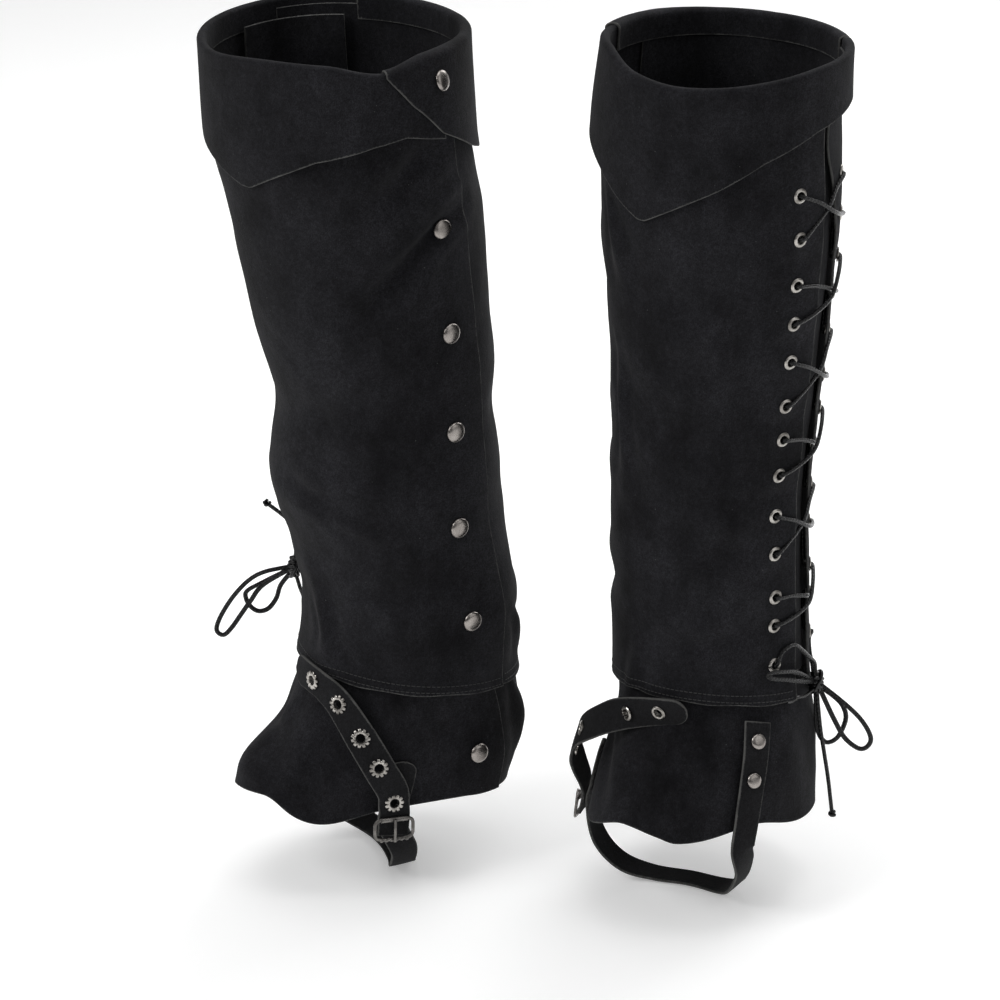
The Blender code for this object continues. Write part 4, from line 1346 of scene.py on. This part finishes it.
class Graph:
    """Short ways to add and join shader nodes."""

    def __init__(self, tree):
        self.tree = tree

    def fill(self, node, inputs):
        """Give a node's inputs their values, or join the sockets that feed them."""
        for key, value in inputs.items():
            if isinstance(value, bpy.types.NodeSocket):
                self.tree.links.new(value, node.inputs[key])
            else:
                node.inputs[key].default_value = value

    def node(self, kind, inputs=(), **values):
        """Add a node: inputs holds what feeds it, the rest are the node's own settings."""
        made = self.tree.nodes.new(kind)
        for key, value in values.items():
            setattr(made, key, value)
        self.fill(made, dict(inputs))
        return made

    def noise(self, place, scale, detail=4.0, rough=0.55):
        """The value of a noise texture."""
        inputs = {"Vector": place, "Scale": scale, "Detail": detail, "Roughness": rough}
        return self.node("ShaderNodeTexNoise", inputs=inputs).outputs["Fac"]

    def remap(self, value, low, high, to_low=0.0, to_high=1.0):
        """A value stretched from one range to another."""
        inputs = {"Value": value, "From Min": low, "From Max": high, "To Min": to_low, "To Max": to_high}
        return self.node("ShaderNodeMapRange", clamp=True, inputs=inputs).outputs["Result"]

    def maths(self, kind, a, b=0.0):
        """One step of arithmetic."""
        return self.node("ShaderNodeMath", operation=kind, inputs={0: a, 1: b}).outputs[0]

    def mix(self, share, a, b):
        """Two colours mixed."""
        made = self.node("ShaderNodeMix", {0: share, 6: a, 7: b}, data_type="RGBA")
        return made.outputs[2]


def new_group(name, inputs, outputs):
    """A named node group with its sockets."""
    group = bpy.data.node_groups.new(name, "ShaderNodeTree")
    for label, kind, value in inputs:
        socket = group.interface.new_socket(label, in_out="INPUT", socket_type=kind)
        if value is not None:
            socket.default_value = value
    for label, kind in outputs:
        group.interface.new_socket(label, in_out="OUTPUT", socket_type=kind)
    graph = Graph(group)
    source = group.nodes.new("NodeGroupInput")
    sink = group.nodes.new("NodeGroupOutput")
    return group, graph, source, sink


def nap_group():
    """Nap of a brushed cloth: soft patches, brushed streaks, fibres and pale specks."""
    floats = "NodeSocketFloat"
    group, graph, source, sink = new_group(
        "brushed_nap",
        (
            ("Base", "NodeSocketColor", (0.01, 0.01, 0.012, 1)), ("Patches", floats, 0.6),
            ("Specks", floats, 0.5),
        ),
        (("Color", "NodeSocketColor"), ("Roughness", floats), ("Height", floats)),
    )
    place = graph.node("ShaderNodeTexCoord").outputs["Object"]
    warped = graph.node("ShaderNodeMapping", inputs={"Vector": place, "Scale": (1.0, 1.0, 0.7)}).outputs[0]
    broad = graph.noise(warped, 17.0, 5.0, 0.62)
    cloud = graph.noise(warped, 62.0, 5.0, 0.65)
    fine = graph.noise(place, 420.0, 3.0, 0.6)
    streaked = graph.node(
        "ShaderNodeMapping", inputs={"Vector": place, "Rotation": (0.5, 0.3, 0.4), "Scale": (1.0, 0.35, 0.5)}
    ).outputs[0]
    fibres = graph.noise(streaked, 2300.0, 2.0, 0.7)
    cloudy = graph.maths("MULTIPLY", graph.remap(cloud, 0.38, 0.7), 0.55)
    patch = graph.maths("ADD", graph.remap(broad, 0.35, 0.68), cloudy)
    patch = graph.maths("MULTIPLY", patch, source.outputs["Patches"])
    lift = graph.maths("MULTIPLY_ADD", patch, 1.45)
    lift.node.inputs[2].default_value = 0.5
    grain = graph.remap(fibres, 0.3, 0.72, 0.45, 1.75)
    mottle = graph.remap(fine, 0.3, 0.7, 0.72, 1.34)
    shade = graph.maths("MULTIPLY", graph.maths("MULTIPLY", lift, grain), mottle)
    inputs = {0: source.outputs["Base"], "Scale": shade}
    colour = graph.node("ShaderNodeVectorMath", inputs, operation="SCALE")
    cells = graph.node("ShaderNodeTexVoronoi", inputs={"Vector": place, "Scale": 260.0, "Randomness": 1.0})
    dot = graph.remap(cells.outputs["Distance"], 0.05, 0.09, 1.0, 0.0)
    rare = graph.remap(graph.noise(place, 90.0, 2.0), 0.60, 0.66)
    speck = graph.maths("MULTIPLY", graph.maths("MULTIPLY", dot, rare), source.outputs["Specks"])
    tinted = graph.mix(speck, colour.outputs[0], (0.09, 0.09, 0.088, 1))
    rough = graph.remap(patch, 0.0, 1.2, 0.98, 0.86)
    height = graph.maths("ADD", graph.maths("MULTIPLY", fibres, 0.6), graph.maths("MULTIPLY", fine, 0.7))
    height = graph.maths("ADD", height, graph.maths("MULTIPLY", cloud, 0.9))
    graph.fill(sink, {"Color": tinted, "Roughness": rough, "Height": height})
    return group


def edge_group():
    """Pale raw fibres and a painted edge highlight close to a cut edge, from the distance that the cloth
    carries.
    """
    floats = "NodeSocketFloat"
    group, graph, source, sink = new_group(
        "cut_edge_fibres_and_highlight", (("Reach", floats, 1.0),), (("Mask", floats),)
    )
    far = graph.node("ShaderNodeAttribute", attribute_name="edge_mm").outputs["Fac"]
    place = graph.node("ShaderNodeTexCoord").outputs["Object"]
    ragged = graph.remap(graph.noise(place, 900.0, 3.0), 0.3, 0.7, 0.2, 1.3)
    reach = graph.maths("MULTIPLY", ragged, source.outputs["Reach"])
    share = graph.maths("SUBTRACT", 1.0, graph.maths("DIVIDE", far, reach))
    mask = graph.remap(share, 0.0, 0.8)
    broken = graph.remap(graph.noise(place, 120.0, 3.0), 0.36, 0.6, 0.35, 1.0)
    graph.fill(sink, {"Mask": graph.maths("MULTIPLY", mask, broken)})
    return group


def metal_group():
    """Handled plated metal: cloudy tarnish and fine scratches."""
    floats = "NodeSocketFloat"
    colour = "NodeSocketColor"
    group, graph, source, sink = new_group(
        "plated_wear",
        (
            ("Base", colour, (0.4, 0.37, 0.34, 1)), ("Tarnish", colour, (0.12, 0.1, 0.09, 1)),
            ("Amount", floats, 0.4),
        ),
        (("Color", colour), ("Roughness", floats), ("Height", floats)),
    )
    place = graph.node("ShaderNodeTexCoord").outputs["Object"]
    cloud = graph.noise(place, 180.0, 3.0, 0.5)
    mask = graph.maths("MULTIPLY", graph.remap(cloud, 0.4, 0.66), source.outputs["Amount"])
    drawn = graph.node("ShaderNodeMapping", inputs={"Vector": place, "Scale": (1.0, 6.0, 1.4)}).outputs[0]
    scratch = graph.noise(drawn, 900.0, 2.0, 0.5)
    tinted = graph.mix(mask, source.outputs["Base"], source.outputs["Tarnish"])
    drawn_rough = graph.remap(scratch, 0.35, 0.7, 0.16, 0.34)
    rough = graph.maths("ADD", drawn_rough, graph.maths("MULTIPLY", mask, 0.3))
    height = graph.maths("ADD", scratch, cloud)
    graph.fill(sink, {"Color": tinted, "Roughness": rough, "Height": height})
    return group


def braid_group():
    """A braided cord's crossing strands, broken by smooth waxed stretches."""
    floats = "NodeSocketFloat"
    group, graph, source, sink = new_group(
        "cord_braid",
        (("Pitch", floats, 0.0028), ("Strands", floats, 3.0)),
        (("Height", floats), ("Strand", floats), ("Wax", floats)),
    )
    chart = graph.node("ShaderNodeUVMap", uv_map="cord_map").outputs["UV"]
    parts = graph.node("ShaderNodeSeparateXYZ", inputs={0: chart})
    around = graph.maths("MULTIPLY", parts.outputs[0], BRAID_WAVE)
    around = graph.maths("MULTIPLY", around, source.outputs["Strands"])
    along = graph.maths("DIVIDE", parts.outputs[1], source.outputs["Pitch"])
    along = graph.maths("MULTIPLY", along, BRAID_WAVE)
    one = graph.maths("SINE", graph.maths("ADD", around, along))
    two = graph.maths("SINE", graph.maths("SUBTRACT", around, along))
    weave = graph.maths("MAXIMUM", one, two)
    strand = graph.remap(weave, -0.2, 1.0)
    wax = graph.remap(graph.noise(chart, 38.0, 2.0), 0.45, 0.55)
    rough = graph.maths("SUBTRACT", 1.0, graph.maths("MULTIPLY", wax, 0.8))
    height = graph.maths("MULTIPLY", strand, rough)
    graph.fill(sink, {"Height": height, "Strand": strand, "Wax": wax})
    return group


def new_material(name):
    """A material's graph and its Principled shader."""
    if name in bpy.data.materials:
        raise RuntimeError(f"the material {name} is there already")
    made = bpy.data.materials.new(name)
    made.use_nodes = True
    return Graph(made.node_tree), made.node_tree.nodes["Principled BSDF"]


def bumped(graph, height, strength, distance):
    """A height turned into a normal."""
    inputs = {"Height": height, "Strength": strength, "Distance": distance}
    return graph.node("ShaderNodeBump", inputs).outputs[0]


def cloth_material(name, group, edges, base, patches, specks, edge_colour, reach, sheen, gloss):
    """A brushed or smooth cloth with pale fibres and a painted highlight near its cut edges."""
    graph, shader = new_material(name)
    inputs = {"Base": base, "Patches": patches, "Specks": specks}
    nap = graph.node("ShaderNodeGroup", inputs, node_tree=group)
    overlay = graph.node("ShaderNodeGroup", {"Reach": reach}, node_tree=edges)
    graph.fill(shader, {
        # The pale band along the cut edges is partly raw fibres and partly a painted edge highlight.
        "Base Color": graph.mix(overlay.outputs["Mask"], nap.outputs["Color"], edge_colour),
        "Roughness": nap.outputs["Roughness"],
        "Sheen Weight": sheen,
        "Sheen Roughness": 0.6,
        "Specular IOR Level": gloss,
        "Normal": bumped(graph, nap.outputs["Height"], 0.55, 0.0005),
    })


class COVERS_OT_materials(bpy.types.Operator):
    """Make the procedural materials"""

    bl_idname = "covers.materials"
    bl_label = "Materials"

    def execute(self, context):
        nap, edges, metal, braid = nap_group(), edge_group(), metal_group(), braid_group()
        suede = tuple(settings().suede_colour)
        # Name, base colour, patches, specks, edge colour, reach of the edge in mm, sheen, gloss.
        for name, *look in (
            ("brushed_suede", suede, 0.8, 0.8, (0.085, 0.085, 0.082, 1), 1.0, 0.03, 0.08),
            # raw_edge and strap_edge have a paler base: partly the cut edge's own colour, partly painted
            # light on rims that face down into shade.
            ("raw_edge", (0.036, 0.036, 0.035, 1), 0.9, 0.3, (0.08, 0.08, 0.077, 1), 0.6, 0.03, 0.08),
            ("strap_suede", (0.0075, 0.0075, 0.0085, 1), 0.35, 0.2, (0.08, 0.08, 0.077, 1), 0.9, 0.01, 0.22),
            ("strap_edge", (0.034, 0.034, 0.033, 1), 0.9, 0.3, (0.09, 0.09, 0.087, 1), 0.6, 0.02, 0.08),
        ):
            cloth_material(name, nap, edges, *look)
        for name, base, tarnish, amount in (
            ("gunmetal", (0.33, 0.305, 0.285, 1), (0.16, 0.14, 0.13, 1), 0.25),
            # The buckle metal's darker base is painted shade and dark reflection; its tarnish is real plated
            # wear.
            ("buckle_metal_painted_shade", (0.2, 0.19, 0.18, 1), (0.03, 0.028, 0.026, 1), 0.5),
            ("antique_silver", (0.46, 0.44, 0.41, 1), (0.09, 0.08, 0.07, 1), 0.65),
        ):
            graph, shader = new_material(name)
            inputs = {"Base": base, "Tarnish": tarnish, "Amount": amount}
            overlay = graph.node("ShaderNodeGroup", inputs, node_tree=metal)
            graph.fill(shader, {
                "Base Color": overlay.outputs["Color"], "Roughness": overlay.outputs["Roughness"],
                "Metallic": 1.0, "Normal": bumped(graph, overlay.outputs["Height"], 0.04, 0.0002),
            })
        graph, shader = new_material("waxed_lace")
        weave = graph.node("ShaderNodeGroup", node_tree=braid)
        shades = ((0.0025, 0.0025, 0.003, 1), (0.005, 0.005, 0.0055, 1))
        graph.fill(shader, {
            "Base Color": graph.mix(weave.outputs["Strand"], *shades),
            "Roughness": graph.remap(weave.outputs["Wax"], 0.0, 1.0, 0.26, 0.18),
            "Specular IOR Level": 0.32, "Normal": bumped(graph, weave.outputs["Height"], 0.6, 0.0005),
        })
        graph, shader = new_material("thread")
        place = graph.node("ShaderNodeTexCoord").outputs["Object"]
        shades = ((0.012, 0.012, 0.013, 1), (0.024, 0.024, 0.023, 1))
        colour = graph.mix(graph.noise(place, 3000.0, 2.0), *shades)
        graph.fill(shader, {"Base Color": colour, "Roughness": 0.6})
        graph, shader = new_material("stage_floor")
        place = graph.node("ShaderNodeTexCoord").outputs["Object"]
        shades = ((0.86, 0.86, 0.86, 1), (0.9, 0.9, 0.9, 1))
        graph.fill(shader, {
            "Base Color": graph.mix(graph.noise(place, 2.0), *shades), "Roughness": 0.85,
            "Emission Color": (1.0, 1.0, 1.0, 1), "Emission Strength": 0.3,
        })
        return {"FINISHED"}


class COVERS_OT_stage(bpy.types.Operator):
    """Set the floor, the lights and the camera"""

    bl_idname = "covers.stage"
    bl_label = "Stage"

    def execute(self, context):
        turn, lift = math.radians(VIEW_TURN), math.radians(CAMERA_ELEVATION)
        target = Vector(CAMERA_TARGET)
        away = Vector((math.sin(turn) * math.cos(lift), -math.cos(turn) * math.cos(lift), math.sin(lift)))
        lens = bpy.data.cameras.new("camera")
        lens.lens = CAMERA_LENS
        camera = bpy.data.objects.new("camera", lens)
        camera.location = target + away * CAMERA_DISTANCE
        camera.rotation_euler = (-away).to_track_quat("-Z", "Y").to_euler()
        context.scene.collection.objects.link(camera)
        context.scene.camera = camera
        floor = self.floor(CAD_BOX[0][2] - FLOOR_GAP)
        floor.data.materials.append(bpy.data.materials["stage_floor"])
        right = Vector((math.cos(turn), math.sin(turn), 0))
        power = settings().key_power
        for name, offset, size, share in (
            ("key", away * 0.9 - right * 1.8 + Vector((0, 0, 1.2)), 1.1, 1.0),
            ("fill", away * 1.2 + right * 1.6 + Vector((0, 0, 0.5)), 1.6, 0.24),
            ("top", Vector((0, 0, 2.0)) - away * 0.3, 1.8, 0.75),
            ("rim", -away * 1.5 + right * 0.9 + Vector((0, 0, 1.6)), 1.2, 0.7),
        ):
            light = bpy.data.lights.new(name, "AREA")
            light.energy = power * share
            light.size = size
            lamp = bpy.data.objects.new(name, light)
            lamp.location = target + offset
            lamp.rotation_euler = (-offset).to_track_quat("-Z", "Y").to_euler()
            context.scene.collection.objects.link(lamp)
        world = bpy.data.worlds.new("world")
        world.use_nodes = True
        graph = Graph(world.node_tree)
        way = graph.node("ShaderNodeTexCoord").outputs["Generated"]
        rise = graph.node("ShaderNodeSeparateXYZ", inputs={0: way}).outputs[2]
        sky = graph.mix(graph.remap(rise, 0.05, 0.75), (0.12, 0.12, 0.12, 1), (1.0, 1.0, 1.0, 1))
        graph.fill(world.node_tree.nodes["Background"], {0: sky, 1: 0.4})
        context.scene.world = world
        context.scene.view_settings.view_transform = "Standard"
        return {"FINISHED"}

    def floor(self, height):
        """A wide flat floor."""
        mesh = bpy.data.meshes.new("floor")
        near, far = -FLOOR_REACH, FLOOR_REACH
        corners = [(near, near, height), (far, near, height), (far, far, height), (near, far, height)]
        mesh.from_pydata(corners, [], [(0, 1, 2, 3)])
        made = bpy.data.objects.new("floor", mesh)
        bpy.context.scene.collection.objects.link(made)
        return made


class COVERS_PT_panel(bpy.types.Panel):
    """Sizes and steps of the boot covers"""

    bl_label = "Boot Covers"
    bl_idname = "COVERS_PT_panel"
    bl_space_type = "VIEW_3D"
    bl_region_type = "UI"
    bl_category = "Boot Covers"

    def draw(self, context):
        for name in CoverSettings.__annotations__:
            self.layout.prop(context.scene.boot_covers, name)
        for step in STEPS:
            self.layout.operator(step.bl_idname)


STEPS = (
    COVERS_OT_materials, COVERS_OT_stage, COVERS_OT_laces, COVERS_OT_shafts, COVERS_OT_tongues,
    COVERS_OT_foot_pieces, COVERS_OT_collars, COVERS_OT_instep_straps, COVERS_OT_sole_straps,
    COVERS_OT_lace_eyelets, COVERS_OT_snaps, COVERS_OT_rivets, COVERS_OT_buckles, COVERS_OT_stitches,
)
CLASSES = (CoverSettings, *STEPS, COVERS_PT_panel)


def register():
    """Add the classes and the scene's settings."""
    for item in CLASSES:
        bpy.utils.register_class(item)
    bpy.types.Scene.boot_covers = bpy.props.PointerProperty(type=CoverSettings)


def unregister():
    """Take the classes and the settings away."""
    del bpy.types.Scene.boot_covers
    for item in reversed(CLASSES):
        bpy.utils.unregister_class(item)


def main():
    """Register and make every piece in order."""
    register()
    for step in STEPS:
        group, name = step.bl_idname.split(".")
        getattr(getattr(bpy.ops, group), name)()


if __name__ == "__main__":
    main()
